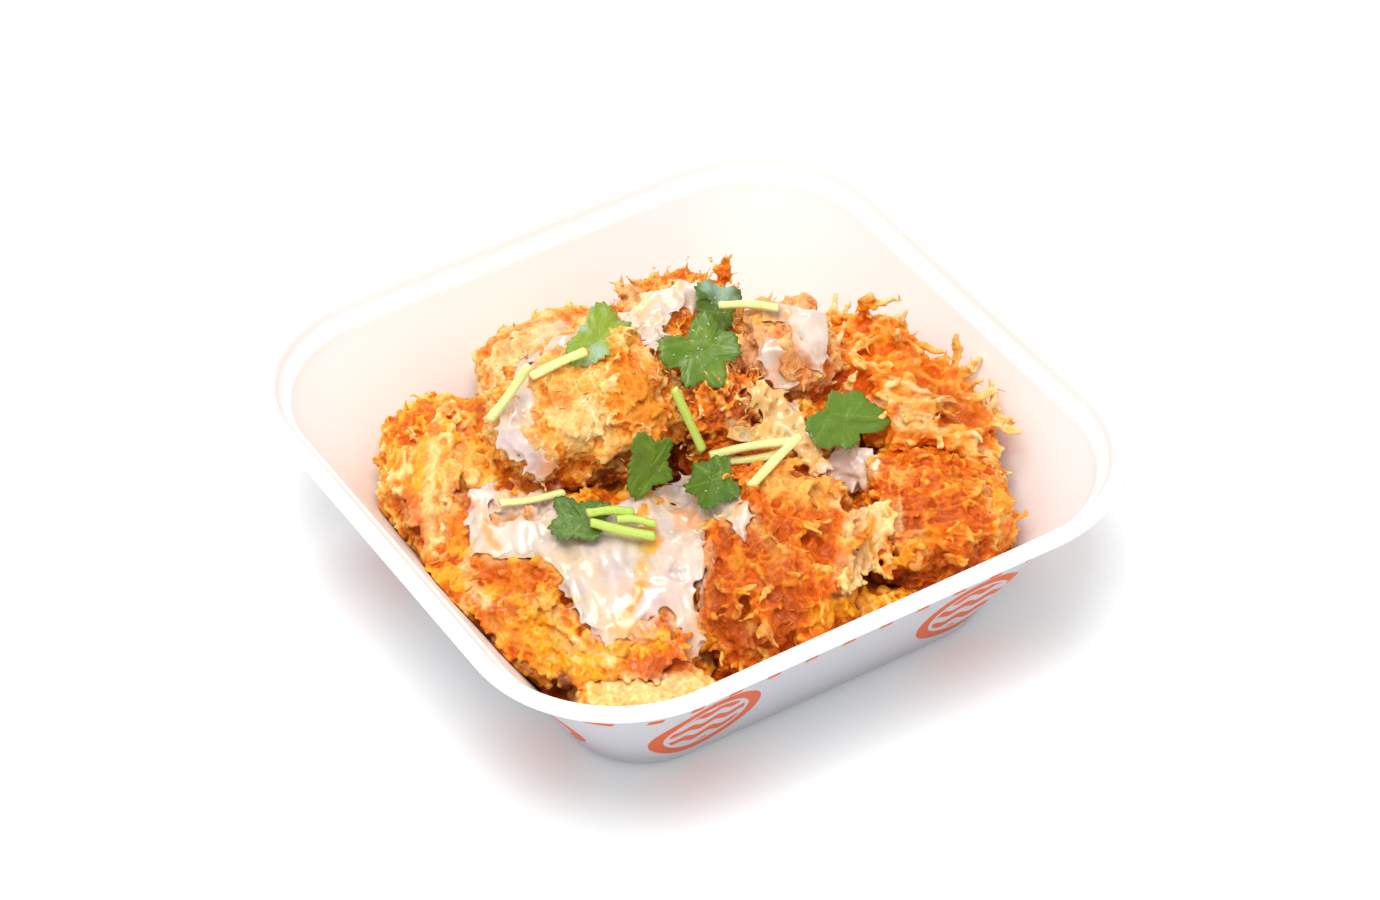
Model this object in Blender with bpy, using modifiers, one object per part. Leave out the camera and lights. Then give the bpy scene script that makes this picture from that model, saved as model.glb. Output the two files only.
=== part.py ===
"""Katsudon: breaded cutlets and soft egg with mitsuba leaves, heaped in a square takeaway bowl."""

import math

import bmesh
import bpy
from mathutils import Euler, Vector, noise
from mathutils.bvhtree import BVHTree

# All sizes below are millimetres; the frame is the bowl's, its base on z = 0, its centre on the z axis.
MM = 0.001

# Bowl
RIM_HALF = 85.0
RIM_CORNER = 38.0
BOWL_HEIGHT = 49.5
LIP_DEPTH = 3.4
LIP_WIDTH = 3.0
LIP_ROUND = 1.4
LIP_CHAMFER = 0.4
STEP_HALF = 80.6
STEP_DEPTH = 5.2
STEP_CHAMFER = 0.5
LEDGE_HALF = 78.0
LEDGE_DEPTH = 6.6
FOOT_HALF = 56.3
FOOT_CORNER = 20.5
FOOT_ROUND = 2.8
FOOT_STEPS = 4
WALL = 1.7
FLOOR_HALF = 55.1
FLOOR_ROUND = 2.4
FLOOR_STEPS = 3
WALL_TOP_HALF = 79.6
WALL_TOP_DEPTH = 4.6
RING_PER_CORNER = 10

# Bed of rice and egg
BED_EDGE_HEIGHT = 15.0
BED_EDGE_ROUND = 3.0
BED_EDGE_INSET = 1.2
BED_EDGE_BUMP = 0.3
BED_FOOT_INSET = 3.4
BED_DOME = 9.0
BED_BUMP = 1.3
BED_GRAIN = 6.0
BED_RINGS = 6
BED_PER_CORNER = 7
CONTACT_GAP = 0.3
CUT_GAPS = (0.3, 0.45, 0.7, 1.0)
SHELL_LIMIT = 1.6
MERGE_REACH = 0.05
NEEDLE_REACH = 0.01

# The point the dish is looked at from, and the plane in which leaves, stems and egg are laid out
SIGHT_POINT = (-415.9, -705.1, 744.4)
SIGHT_TARGET = (-7.4, -12.6, 49.3)
SIGHT_ROLL = -1.896

# Cutlet pieces: centre, half sizes, turn about x, y, z in degrees, squareness, crag depth, seed, segments
CUTLETS = {
    "cutlet_front_left": ((-40, -16, 23), (39, 26, 17), (17, 0, -45), 2.8, 2.6, 3, 8),
    "cutlet_left": ((-45, 31, 22), (18, 29, 16), (0, -12, -14), 2.5, 2.2, 7, 6),
    "cutlet_front_right": ((-2, -40, 28), (19, 25, 20), (14, 0, -32), 2.7, 3.0, 11, 8),
    "cutlet_right_front": ((40, -42, 25), (18, 19, 16), (0, 8, -30), 2.5, 2.4, 15, 6),
    "cutlet_right_back": ((52, -11, 33), (15, 30, 14), (4, 6, 6), 2.5, 2.4, 19, 7),
    "cutlet_back_left": ((-8, 45, 31), (21, 18, 14), (0, 0, -20), 2.4, 1.6, 23, 6),
    "cutlet_back": ((15, 33, 36), (16, 15, 19), (0, 0, 10), 2.4, 2.2, 27, 6),
    "cutlet_middle": ((17, -6, 34), (21, 17, 14), (0, 0, -25), 2.3, 2.0, 31, 5),
    "cutlet_upper_left": ((-20, 11, 49), (22, 18, 14), (8, -6, -18), 2.4, 2.2, 35, 7),
    "cutlet_upper_right": ((29, 4, 51), (12, 12, 11), (0, 0, 20), 2.2, 1.8, 39, 5),
    "crumb_tuft": ((7, -4, 47), (9, 8, 9), (0, 0, 30), 2.2, 2.2, 43, 4),
    "egg_curds_corner": ((-44, -50, 17), (17, 9, 8), (0, 0, -34), 2.2, 1.8, 47, 5),
    "egg_curds_right": ((11, -56, 18), (15, 8, 8), (0, 0, -4), 2.2, 1.8, 51, 5),
}
CRAG_COARSE = 9.0
CRAG_FINE = 4.5
CRAG_FINE_SHARE = 0.45
SEED_SHIFT = (17.3, 5.1, 9.7)
# Curled ridges run along this piece: how much longer the crags are along it than across
RIDGED = {"cutlet_right_back": 3.2, "cutlet_right_front": 1.8}

# Crumb tufts that stand up from a piece: foot and tip in the sight plane, foot radius
TUFTS = {
    "cutlet_back": [((8.2, 38.0), (8.6, 44.2), 1.7), ((-16.5, 34.5), (-17.5, 39.5), 1.8)],
    "cutlet_right_back": [((34.8, 29.5), (41.5, 36.2), 1.6)],
}
TUFT_SINK = 4.0
TUFT_BEND = (0.6, 0.0, 0.0)
TUFT_TAPER = (1.0, 0.8, 0.3)
BAR_RESOLUTION = 1

# Egg poured over the pieces: strokes of (start, end, start radius, end radius) in the sight plane
EGG = {
    "egg_white_front": (1.9, [
        ((-48.7, -8.4), (-49.0, -21.0), 2.6, 2.8),
        ((-48.5, -22.2), (-29.2, -19.8), 3.3, 5.6),
        ((-29.2, -19.8), (-18.2, -35.5), 7.0, 7.9),
        ((-21.0, -21.0), (2.3, -11.2), 7.0, 5.6),
        ((-16.3, -35.0), (-3.5, -25.7), 7.0, 7.9),
        ((-1.4, -35.0), (0.5, -47.8), 2.8, 1.6),
        ((0.0, -9.8), (11.2, -15.4), 4.2, 2.8),
    ]),
    "egg_white_back": (1.6, [
        ((-8.9, 34.5), (-9.3, 24.5), 4.0, 3.0),
        ((-4.2, 35.5), (3.7, 36.6), 3.5, 2.3),
        ((-11.7, 30.8), (-14.5, 28.0), 2.1, 1.6),
    ]),
    "egg_white_upper_right": (1.8, [
        ((18.2, 33.1), (27.5, 30.8), 2.1, 2.8),
        ((28.5, 29.9), (30.3, 20.5), 3.3, 2.3),
        ((18.7, 23.3), (21.5, 14.5), 3.3, 2.6),
        ((21.0, 22.9), (25.7, 23.3), 2.8, 1.9),
    ]),
    "egg_white_middle": (1.8, [
        ((15.6, 13.5), (23.8, 6.1), 3.0, 3.5),
        ((23.8, 6.1), (30.8, -4.7), 3.5, 2.1),
        ((10.5, 3.3), (23.3, 5.1), 2.3, 3.3),
    ]),
    "egg_white_right": (2.2, [
        ((34.1, -1.9), (40.1, -4.7), 2.3, 2.8),
        ((36.9, -2.8), (37.3, -8.4), 2.8, 2.1),
    ]),
    "egg_cream_left": (1.6, [
        ((-55.5, 7.5), (-64.8, -4.7), 3.3, 4.7),
        ((-64.8, -4.7), (-59.2, -21.0), 4.7, 2.8),
        ((-56.0, -4.7), (-58.3, -12.8), 4.2, 2.8),
    ]),
    "egg_white_upper_left": (1.6, [
        ((-39.7, 13.5), (-41.5, 5.8), 2.8, 2.8),
        ((-41.1, 5.8), (-34.3, -4.2), 3.5, 3.0),
        ((-39.7, 18.7), (-33.1, 22.9), 1.9, 1.9),
    ]),
    "egg_white_back_left": (1.5, [
        ((-22.9, 28.0), (-30.3, 23.3), 3.0, 2.8),
        ((-31.3, 22.9), (-43.2, 16.8), 2.6, 1.9),
    ]),
    "egg_yellow_front": (2.2, [
        ((-49.4, -35.0), (-39.7, -44.3), 3.0, 4.2),
        ((-39.7, -44.3), (-26.8, -51.8), 4.2, 3.5),
        ((-26.8, -51.8), (-9.3, -50.8), 3.5, 3.0),
        ((-9.3, -49.0), (0.0, -44.3), 3.0, 2.1),
        ((-44.3, -38.5), (-33.1, -34.1), 2.8, 3.3),
    ]),
    "egg_yolk_right_front": (1.8, [((50.8, -25.7), (56.0, -20.5), 2.3, 2.1)]),
    "egg_yolk_right_end": (1.8, [((71.0, -7.5), (72.6, -13.5), 2.0, 2.2)]),
    "egg_strands_right": (1.5, [
        ((39.2, -15.2), (37.8, -30.8), 2.8, 3.3),
        ((45.3, -14.5), (44.8, -27.5), 2.1, 2.3),
        ((38.5, -21.0), (45.5, -22.2), 3.3, 2.8),
    ]),
}
EGG_PITCH = 2.9
EGG_MARGIN = 9
EGG_OVERHANG = 0.35
EGG_PULL = 0.45
EGG_PULL_SLOPE = 0.5
EGG_SLOPE_STEP = 0.3
EGG_BLEND_REACH = 2.5
EGG_BLEND_RISE = 0.6
EGG_EDGE = 0.7
EGG_EDGE_RISE = 3.2
EGG_WAVER = 1.3
EGG_WAVER_SIZE = 7.0
EGG_WAVER_SHIFT = 3.1
EGG_STRETCH_STEPS = 7
EGG_LUMP = 0.5
EGG_LUMP_SIZE = 5.0
EGG_LUMP_SHIFT = 4.0
EGG_CLEAR = 0.8

# Mitsuba leaves: centre in the sight plane, then lobes of (direction, length, half width), angles in degrees
LEAVES = {
    "leaf_1": ((-21.7, 25.6), [(75, 9.0, 26), (15, 9.5, 20), (215, 8.0, 30), (150, 5.0, 30)]),
    "leaf_2": ((6.2, 34.0), [(125, 6.5, 34), (20, 6.5, 26), (285, 7.0, 30), (190, 4.5, 40)]),
    "leaf_3": ((2.3, 22.9), [(178, 10.0, 24), (80, 9.0, 26), (12, 10.0, 24), (250, 8.5, 20), (305, 9.5, 20)]),
    "leaf_4": ((36.0, 7.0), [(5, 10.5, 20), (55, 7.5, 26), (110, 7.0, 32), (205, 9.0, 34), (285, 6.5, 34)]),
    "leaf_5": ((-9.3, -4.2), [(105, 8.2, 20), (55, 8.0, 18), (240, 8.2, 24), (330, 5.5, 30), (185, 5.0, 36)]),
    "leaf_6": ((4.9, -7.0), [(60, 6.5, 34), (140, 5.5, 30), (200, 6.5, 26), (262, 7.0, 22), (325, 7.0, 24)]),
    "leaf_7": ((-25.5, -16.2), [(140, 7.5, 22), (205, 8.0, 22), (25, 7.5, 24), (320, 6.0, 30)]),
}
LEAF_THICK = 0.6
LEAF_RIM_POINTS = 26
LEAF_TOOTH = 0.07
LEAF_CORE = 4.2
LEAF_LOBE_FALL = 0.32
LEAF_TILT = 0.8
LEAF_REST_DEPTH = 5.0
LEAF_TEETH = 13
LEAF_WAVE = 0.5
LEAF_WAVE_SIZE = 4.0
LEAF_WAVE_SHIFT = 7.7
LEAF_BEND = 1.5
LEAF_INNER_RING = 0.55
LEAF_FOLLOW = 0.65

# Stems: start and end in the sight plane, thickness
STEMS = {
    "stem_1": ((-24.3, 22.9), (-37.1, 17.0), 2.2),
    "stem_2": ((-37.6, 19.6), (-46.7, 7.2), 2.5),
    "stem_3": ((7.0, 33.8), (20.5, 33.1), 2.0),
    "stem_4": ((-3.7, 14.2), (3.0, 0.0), 2.4),
    "stem_5": ((4.7, -1.4), (23.6, 2.1), 2.1),
    "stem_6": ((9.3, -2.7), (21.9, -0.6), 2.0),
    "stem_7": ((25.4, 3.0), (14.2, -8.6), 2.2),
    "stem_8": ((-44.3, -12.4), (-29.4, -10.0), 1.6),
    "stem_9": ((-23.8, -14.7), (-13.5, -14.5), 2.0),
    "stem_10": ((-23.1, -16.9), (-8.4, -20.1), 2.2),
    "stem_11": ((-17.0, -16.2), (-8.2, -17.2), 1.9),
}
STEM_PARTS = 4
STEM_BOW = 0.5
STEM_TILT = 0.6
LIFT_STEP = 0.2
LIFT_LIMIT = 60

COLOURS = {
    "bowl": (0.93, 0.92, 0.91),
    "bed": (0.80, 0.58, 0.30),
    "cutlet": (0.78, 0.36, 0.08),
    "crumb": (0.72, 0.36, 0.10),
    "egg_white": (0.93, 0.88, 0.84),
    "egg_cream": (0.93, 0.76, 0.42),
    "egg_curds": (0.93, 0.80, 0.50),
    "egg_strands": (0.93, 0.80, 0.50),
    "egg_yellow": (0.95, 0.62, 0.08),
    "egg_yolk": (0.98, 0.62, 0.02),
    "leaf": (0.22, 0.45, 0.12),
    "stem": (0.75, 0.82, 0.40),
}
GLOSSY = {"bowl": 0.25, "egg_white": 0.25, "egg_yolk": 0.25}
FOOD_ROUGHNESS = 0.5


def clear_scene():
    """Removes whatever the start-up scene holds."""
    for thing in list(bpy.data.objects):
        bpy.data.objects.remove(thing, do_unlink=True)


def new_collection(name):
    """A collection of that name under the scene."""
    group = bpy.data.collections.new(name)
    bpy.context.scene.collection.children.link(group)
    return group


def material_for(name):
    """The plain material of a node, its colour chosen by the start of its name."""
    kind = next(k for k in COLOURS if name.startswith(k))
    material = bpy.data.materials.new(name + "_material")
    material.use_nodes = True
    shader = material.node_tree.nodes["Principled BSDF"]
    shader.inputs["Base Color"].default_value = (*COLOURS[kind], 1.0)
    shader.inputs["Roughness"].default_value = GLOSSY.get(kind, FOOD_ROUGHNESS)
    return material


def mesh_object(name, shape, group):
    """An object made from a bmesh in millimetres; the bmesh is freed."""
    mesh = bpy.data.meshes.new(name)
    bmesh.ops.triangulate(shape, faces=shape.faces)
    bmesh.ops.recalc_face_normals(shape, faces=shape.faces)
    if shape.calc_volume(signed=True) < 0:
        bmesh.ops.reverse_faces(shape, faces=shape.faces)
    bmesh.ops.scale(shape, vec=(MM, MM, MM), verts=shape.verts)
    shape.to_mesh(mesh)
    shape.free()
    thing = bpy.data.objects.new(name, mesh)
    group.objects.link(thing)
    return thing


def shape_of(thing):
    """A bmesh in millimetres of an object that this script made."""
    shape = bmesh.new()
    shape.from_mesh(thing.data)
    bmesh.ops.scale(shape, vec=(1 / MM, 1 / MM, 1 / MM), verts=shape.verts)
    return shape


def tree_of(thing):
    """A search tree in millimetres of an object's surface as it is built."""
    shape = as_built(thing)
    tree = BVHTree.FromBMesh(shape)
    shape.free()
    return tree


def combine(thing, other, operation):
    """Joins another object to this one, or cuts it away, and removes the other."""
    change = thing.modifiers.new("change", "BOOLEAN")
    change.operation = operation
    change.solver = "MANIFOLD"
    change.object = other
    bpy.context.view_layer.update()
    graph = bpy.context.evaluated_depsgraph_get()
    result = bpy.data.meshes.new_from_object(thing.evaluated_get(graph))
    thing.modifiers.remove(change)
    result.name = thing.name
    thing.data = result
    bpy.data.objects.remove(other, do_unlink=True)


def keep_largest(thing):
    """Drops the loose scraps that a cut leaves, and needle faces with them."""
    shape = shape_of(thing)
    bmesh.ops.remove_doubles(shape, verts=shape.verts, dist=MERGE_REACH)
    bmesh.ops.dissolve_degenerate(shape, edges=shape.edges, dist=NEEDLE_REACH)
    bmesh.ops.triangulate(shape, faces=shape.faces)
    left = set(shape.verts)
    parts = []
    while left:
        start = left.pop()
        part = {start}
        front = [start]
        while front:
            for edge in front.pop().link_edges:
                for vertex in edge.verts:
                    if vertex in left:
                        left.discard(vertex)
                        part.add(vertex)
                        front.append(vertex)
        parts.append(part)
    parts.sort(key=len)
    for part in parts[:-1]:
        bmesh.ops.delete(shape, geom=list(part), context="VERTS")
    bmesh.ops.scale(shape, vec=(MM, MM, MM), verts=shape.verts)
    shape.to_mesh(thing.data)
    shape.free()


def cut_clear(thing, others, cutters):
    """Cuts a piece back to just clear of the pieces it lies on or beside."""
    own = thing.name
    near = [other for other in others if boxes_meet(thing, other)]
    for gap in CUT_GAPS:
        meeting = [other for other in near if meets(thing, other, gap)]
        for other in meeting:
            cutter = mesh_object("cutter", swollen(other, gap), cutters)
            cutter.display_type = "WIRE"
            combine(thing, cutter, "DIFFERENCE")
        keep_largest(thing)
        if not any(meets(thing, other, 0.0) for other in meeting):
            return
    raise RuntimeError(own + " can not be cut clear")


def swollen(thing, gap):
    """A bmesh in millimetres of an object, its faces moved out by a gap."""
    shape = shape_of(thing)
    shape.normal_update()
    for vertex in shape.verts:
        vertex.co += vertex.normal * gap * min(SHELL_LIMIT, vertex.calc_shell_factor())
    return shape


def meets(thing, other, gap):
    """Whether an object's surface comes within a gap of another's."""
    shape = swollen(other, gap)
    tree = BVHTree.FromBMesh(shape)
    shape.free()
    return bool(tree.overlap(tree_of(thing)))


def boxes_meet(thing, other):
    """Whether the bounding boxes of two objects come within a small margin of each other."""
    low, high = bounds_of(thing)
    other_low, other_high = bounds_of(other)
    margin = CUT_GAPS[-1] * MM
    return all(low[k] < other_high[k] + margin and other_low[k] < high[k] + margin for k in range(3))


def bounds_of(thing):
    """The lowest and highest corner of an object's mesh, in metres."""
    points = [vertex.co for vertex in thing.data.vertices]
    low = [min(p[k] for p in points) for k in range(3)]
    high = [max(p[k] for p in points) for k in range(3)]
    return low, high


def rounded_square(half, corner, z, per_corner=RING_PER_CORNER):
    """Points round a square with rounded corners."""
    points = []
    centre = half - corner
    for quarter, (side_x, side_y) in enumerate([(1, 1), (-1, 1), (-1, -1), (1, -1)]):
        for step in range(per_corner):
            angle = (quarter + step / (per_corner - 1)) * math.pi / 2
            x = side_x * centre + corner * math.cos(angle)
            y = side_y * centre + corner * math.sin(angle)
            points.append(Vector((x, y, z)))
    return points


def loft(shape, rings, closed_end=True):
    """Skins a list of rings of points that have the same count, and closes the first and maybe the last."""
    loops = [[shape.verts.new(point) for point in ring] for ring in rings]
    count = len(rings[0])
    for low, high in zip(loops, loops[1:]):
        for k in range(count):
            after = (k + 1) % count
            shape.faces.new((low[k], low[after], high[after], high[k]))
    shape.faces.new(list(reversed(loops[0])))
    if closed_end:
        shape.faces.new(loops[-1])
    return loops


def wall_inner(z):
    """Half width and corner radius of the inside of the bowl at height z."""
    low_z = WALL + FLOOR_ROUND
    high_z = BOWL_HEIGHT - LEDGE_DEPTH
    high_corner = RIM_CORNER - (RIM_HALF - LEDGE_HALF)
    share = (z - low_z) / (high_z - low_z)
    half = FLOOR_HALF + (LEDGE_HALF - FLOOR_HALF) * share
    corner = FOOT_CORNER + (high_corner - FOOT_CORNER) * share
    return half, corner


def build_bowl(group):
    """The bowl as one skin: out over the foot and wall, round the lip, down the step and the inside."""
    top = BOWL_HEIGHT
    shape = bmesh.new()
    rings = []
    for step in range(FOOT_STEPS):
        angle = step / (FOOT_STEPS - 1) * math.pi / 2
        half = FOOT_HALF - FOOT_ROUND + FOOT_ROUND * math.sin(angle)
        rings.append((half, FOOT_CORNER - FOOT_HALF + half, FOOT_ROUND * (1 - math.cos(angle))))
    wall_corner = RIM_CORNER - (RIM_HALF - WALL_TOP_HALF)
    rings.append((WALL_TOP_HALF - LIP_CHAMFER, wall_corner, top - WALL_TOP_DEPTH - 2 * LIP_CHAMFER))
    lip_profile = [
        (WALL_TOP_HALF, top - WALL_TOP_DEPTH),
        (RIM_HALF - LIP_ROUND, top - LIP_DEPTH - LIP_CHAMFER),
        (RIM_HALF - LIP_CHAMFER, top - LIP_DEPTH + LIP_CHAMFER),
        (RIM_HALF, top - LIP_DEPTH / 2),
        (RIM_HALF - LIP_CHAMFER, top - LIP_CHAMFER),
        (RIM_HALF - LIP_ROUND, top),
        (RIM_HALF - LIP_WIDTH + LIP_CHAMFER, top - LIP_CHAMFER / 2),
        (RIM_HALF - LIP_WIDTH - LIP_CHAMFER, top - LIP_ROUND),
        (STEP_HALF + STEP_CHAMFER, top - STEP_DEPTH + STEP_CHAMFER),
        (STEP_HALF - STEP_CHAMFER, top - STEP_DEPTH),
        (LEDGE_HALF + STEP_CHAMFER, top - STEP_DEPTH - STEP_CHAMFER),
        (LEDGE_HALF, top - LEDGE_DEPTH),
    ]
    for half, z in lip_profile:
        rings.append((half, RIM_CORNER - (RIM_HALF - half), z))
    half, corner = wall_inner(WALL + FLOOR_ROUND)
    for step in range(FLOOR_STEPS):
        angle = step / (FLOOR_STEPS - 1) * math.pi / 2
        inset = FLOOR_ROUND * (1 - math.cos(angle))
        rings.append((half - inset, corner - inset, WALL + FLOOR_ROUND * (1 - math.sin(angle))))
    loft(shape, [rounded_square(*ring) for ring in reversed(rings)])
    return mesh_object("bowl", shape, group)


def build_bed(group):
    """Rice and egg that fill the bowl's floor, out to a bumpy domed top."""
    shape = bmesh.new()
    rings = []
    for z, inset in (
        (WALL + CONTACT_GAP, BED_FOOT_INSET),
        (WALL + FLOOR_ROUND, CONTACT_GAP),
        (BED_EDGE_HEIGHT - BED_EDGE_ROUND, CONTACT_GAP),
    ):
        half, corner = wall_inner(max(z, WALL + FLOOR_ROUND))
        rings.append(rounded_square(half - inset, corner - inset, z, BED_PER_CORNER))
    half, corner = wall_inner(BED_EDGE_HEIGHT)
    for step in range(BED_RINGS):
        share = 1 - step / BED_RINGS
        ring = []
        for point in rounded_square(half - BED_EDGE_INSET, corner - BED_EDGE_INSET, 0.0, BED_PER_CORNER):
            place = Vector((point.x * share, point.y * share, 0.0))
            bump = noise.noise(place / BED_GRAIN) * BED_BUMP * min(1.0, step + BED_EDGE_BUMP)
            place.z = BED_EDGE_HEIGHT + BED_DOME * (1 - share**2) + bump
            ring.append(place)
        rings.append(ring)
    last = loft(shape, rings, closed_end=False)[-1]
    middle = shape.verts.new((0.0, 0.0, BED_EDGE_HEIGHT + BED_DOME))
    for k, vertex in enumerate(last):
        shape.faces.new((vertex, last[(k + 1) % len(last)], middle))
    return mesh_object("bed_of_rice_and_egg", shape, group)


def ball_grid(segments):
    """A cube's faces split into a grid, as a bmesh with its corners at plus and minus one."""
    shape = bmesh.new()
    bmesh.ops.create_cube(shape, size=2.0)
    bmesh.ops.subdivide_edges(shape, edges=shape.edges, cuts=segments - 1, use_grid_fill=True)
    return shape


def crag(place, seed, along, stretch):
    """Height of the crumb crags at a place on a piece, from about minus one to one."""
    shift = Vector(SEED_SHIFT) * seed
    along_part = along * place.dot(along)
    place = place - along_part + along_part / stretch
    coarse = 1 - 2 * abs(noise.noise(place / CRAG_COARSE + shift))
    fine = noise.noise(place / CRAG_FINE + shift)
    return (coarse - 0.5) * (1 - CRAG_FINE_SHARE) * 2 + fine * CRAG_FINE_SHARE * 2


def build_cutlet(name, group):
    """A craggy piece with rounded, boxy form."""
    centre, half, turn, square, depth, seed, segments = CUTLETS[name]
    shape = ball_grid(segments)
    turned = Euler([math.radians(angle) for angle in turn]).to_matrix()
    along = (turned @ Vector((0, 1, 0))).normalized()
    stretch = RIDGED.get(name, 1.0)
    for vertex in shape.verts:
        way = Vector([math.tan(value * math.pi / 4) for value in vertex.co]).normalized()
        reach = sum(abs(value) ** square for value in way) ** (-1 / square)
        place = turned @ Vector([way[k] * reach * half[k] for k in range(3)])
        slope = turned @ Vector([way[k] / half[k] for k in range(3)]).normalized()
        vertex.co = place + slope * crag(place, seed, along, stretch) * depth + Vector(centre)
    return mesh_object(name, shape, group)


def sight_axes():
    """Right, up and back directions of the sight plane."""
    back = (Vector(SIGHT_POINT) - Vector(SIGHT_TARGET)).normalized()
    right = Vector((0, 0, 1)).cross(back).normalized()
    up = back.cross(right)
    roll = math.radians(SIGHT_ROLL)
    turned_right = right * math.cos(roll) + up * math.sin(roll)
    turned_up = up * math.cos(roll) - right * math.sin(roll)
    return turned_right, turned_up, back


def sight_line(u, v):
    """Unit direction from the sight point through the point (u, v) of the sight plane."""
    right, up, _ = sight_axes()
    return (Vector(SIGHT_TARGET) + right * u + up * v - Vector(SIGHT_POINT)).normalized()


def reach_to(u, v, trees):
    """Distance along a sight line to the first surface it meets."""
    way = sight_line(u, v)
    found = [tree.ray_cast(Vector(SIGHT_POINT), way)[3] for tree in trees]
    found = [distance for distance in found if distance is not None]
    return min(found)


def along_sight(u, v, distance):
    """The point on a sight line at a distance from the sight point."""
    return Vector(SIGHT_POINT) + sight_line(u, v) * distance


def stroke_field(u, v, strokes):
    """How deep inside a set of strokes the point (u, v) lies; negative outside."""
    best = -1e9
    for start, end, radius_a, radius_b in strokes:
        span_u, span_v = end[0] - start[0], end[1] - start[1]
        share = ((u - start[0]) * span_u + (v - start[1]) * span_v) / (span_u**2 + span_v**2)
        share = min(1.0, max(0.0, share))
        gap = math.hypot(u - start[0] - share * span_u, v - start[1] - share * span_v)
        depth = radius_a + (radius_b - radius_a) * share - gap
        blend = max(0.0, 1 - abs(best - depth) / EGG_BLEND_REACH)
        best = max(best, depth) + blend**2 * EGG_BLEND_RISE
    place = Vector((u, v, len(strokes) * EGG_WAVER_SHIFT))
    return best + noise.noise(place / EGG_WAVER_SIZE) * EGG_WAVER


def egg_cells(strokes):
    """Grid squares wholly inside the strokes, joined edge to edge in one patch."""
    ends = [end for stroke in strokes for end in stroke[:2]]
    low_u = math.floor((min(e[0] for e in ends) - EGG_MARGIN) / EGG_PITCH)
    high_u = math.ceil((max(e[0] for e in ends) + EGG_MARGIN) / EGG_PITCH)
    low_v = math.floor((min(e[1] for e in ends) - EGG_MARGIN) / EGG_PITCH)
    high_v = math.ceil((max(e[1] for e in ends) + EGG_MARGIN) / EGG_PITCH)
    field = {}
    for i in range(low_u, high_u + 1):
        for j in range(low_v, high_v + 1):
            field[i, j] = stroke_field(i * EGG_PITCH, j * EGG_PITCH, strokes)
    cells = set()
    for i in range(low_u, high_u):
        for j in range(low_v, high_v):
            corners = [(i, j), (i + 1, j), (i + 1, j + 1), (i, j + 1)]
            if min(field[c] for c in corners) > -EGG_OVERHANG * EGG_PITCH:
                cells.add((i, j))
    changed = True
    while changed:
        changed = False
        for i, j in list(cells):
            for side in (-1, 1):
                diagonal = (i + side, j + 1)
                if diagonal in cells and (i + side, j) not in cells and (i, j + 1) not in cells:
                    cells.add((i, j + 1))
                    changed = True
    return largest_patch(cells), field


def largest_patch(cells):
    """The largest group of squares that are joined edge to edge."""
    left = set(cells)
    best = set()
    while left:
        start = left.pop()
        patch = {start}
        front = [start]
        while front:
            i, j = front.pop()
            for beside in ((i + 1, j), (i - 1, j), (i, j + 1), (i, j - 1)):
                if beside in left:
                    left.discard(beside)
                    patch.add(beside)
                    front.append(beside)
        if len(patch) > len(best):
            best = patch
    return best


def build_egg(name, trees, group):
    """A thin lumpy skin of egg that hangs over the pieces below, thinner at its edge."""
    thick, strokes = EGG[name]
    cells, field = egg_cells(strokes)
    nodes = {c for i, j in cells for c in ((i, j), (i + 1, j), (i + 1, j + 1), (i, j + 1))}
    spots = {}
    for i, j in nodes:
        u, v = i * EGG_PITCH, j * EGG_PITCH
        around = [(i + a, j + b) for a, b in ((0, 0), (-1, 0), (0, -1), (-1, -1))]
        if not all(cell in cells for cell in around):
            step = EGG_SLOPE_STEP
            slope_u = (stroke_field(u + step, v, strokes) - stroke_field(u - step, v, strokes)) / (2 * step)
            slope_v = (stroke_field(u, v + step, strokes) - stroke_field(u, v - step, strokes)) / (2 * step)
            size = max(EGG_PULL_SLOPE, slope_u**2 + slope_v**2)
            pull = max(-EGG_PULL * EGG_PITCH, min(EGG_PULL * EGG_PITCH, field[i, j])) / size
            u -= slope_u * pull
            v -= slope_v * pull
        spots[i, j] = (u, v)
    under = {spot: -reach_to(*spots[spot], trees) for spot in nodes}
    sheet = dict(under)
    for _ in range(EGG_STRETCH_STEPS):
        moved = {}
        for i, j in nodes:
            beside = [s for s in ((i + 1, j), (i - 1, j), (i, j + 1), (i, j - 1)) if s in nodes]
            mean = sum(sheet[s] for s in beside) / len(beside)
            moved[i, j] = max(under[i, j], mean)
        sheet = moved
    shape = bmesh.new()
    tops, bottoms = {}, {}
    for spot in nodes:
        u, v = spots[spot]
        rise = math.sqrt(max(0.0, min(1.0, field[spot] / EGG_EDGE_RISE)))
        lump = noise.noise(Vector((u, v, EGG_LUMP_SHIFT)) / EGG_LUMP_SIZE) * EGG_LUMP
        height = EGG_EDGE + (thick - EGG_EDGE + lump) * rise
        bottoms[spot] = shape.verts.new(along_sight(u, v, -sheet[spot] - EGG_CLEAR))
        tops[spot] = shape.verts.new(along_sight(u, v, -sheet[spot] - EGG_CLEAR - height))
    edges = {}
    for i, j in cells:
        ring = [(i, j), (i + 1, j), (i + 1, j + 1), (i, j + 1)]
        split = [(0, 1, 2), (0, 2, 3)] if (i + j) % 2 else [(0, 1, 3), (1, 2, 3)]
        for three in split:
            shape.faces.new([tops[ring[k]] for k in three])
            shape.faces.new([bottoms[ring[k]] for k in reversed(three)])
        for k in range(4):
            edges[ring[k], ring[(k + 1) % 4]] = True
    for start, end in edges:
        if (end, start) not in edges:
            shape.faces.new((tops[start], bottoms[start], bottoms[end]))
            shape.faces.new((tops[start], bottoms[end], tops[end]))
    return mesh_object(name, shape, group)


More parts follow.
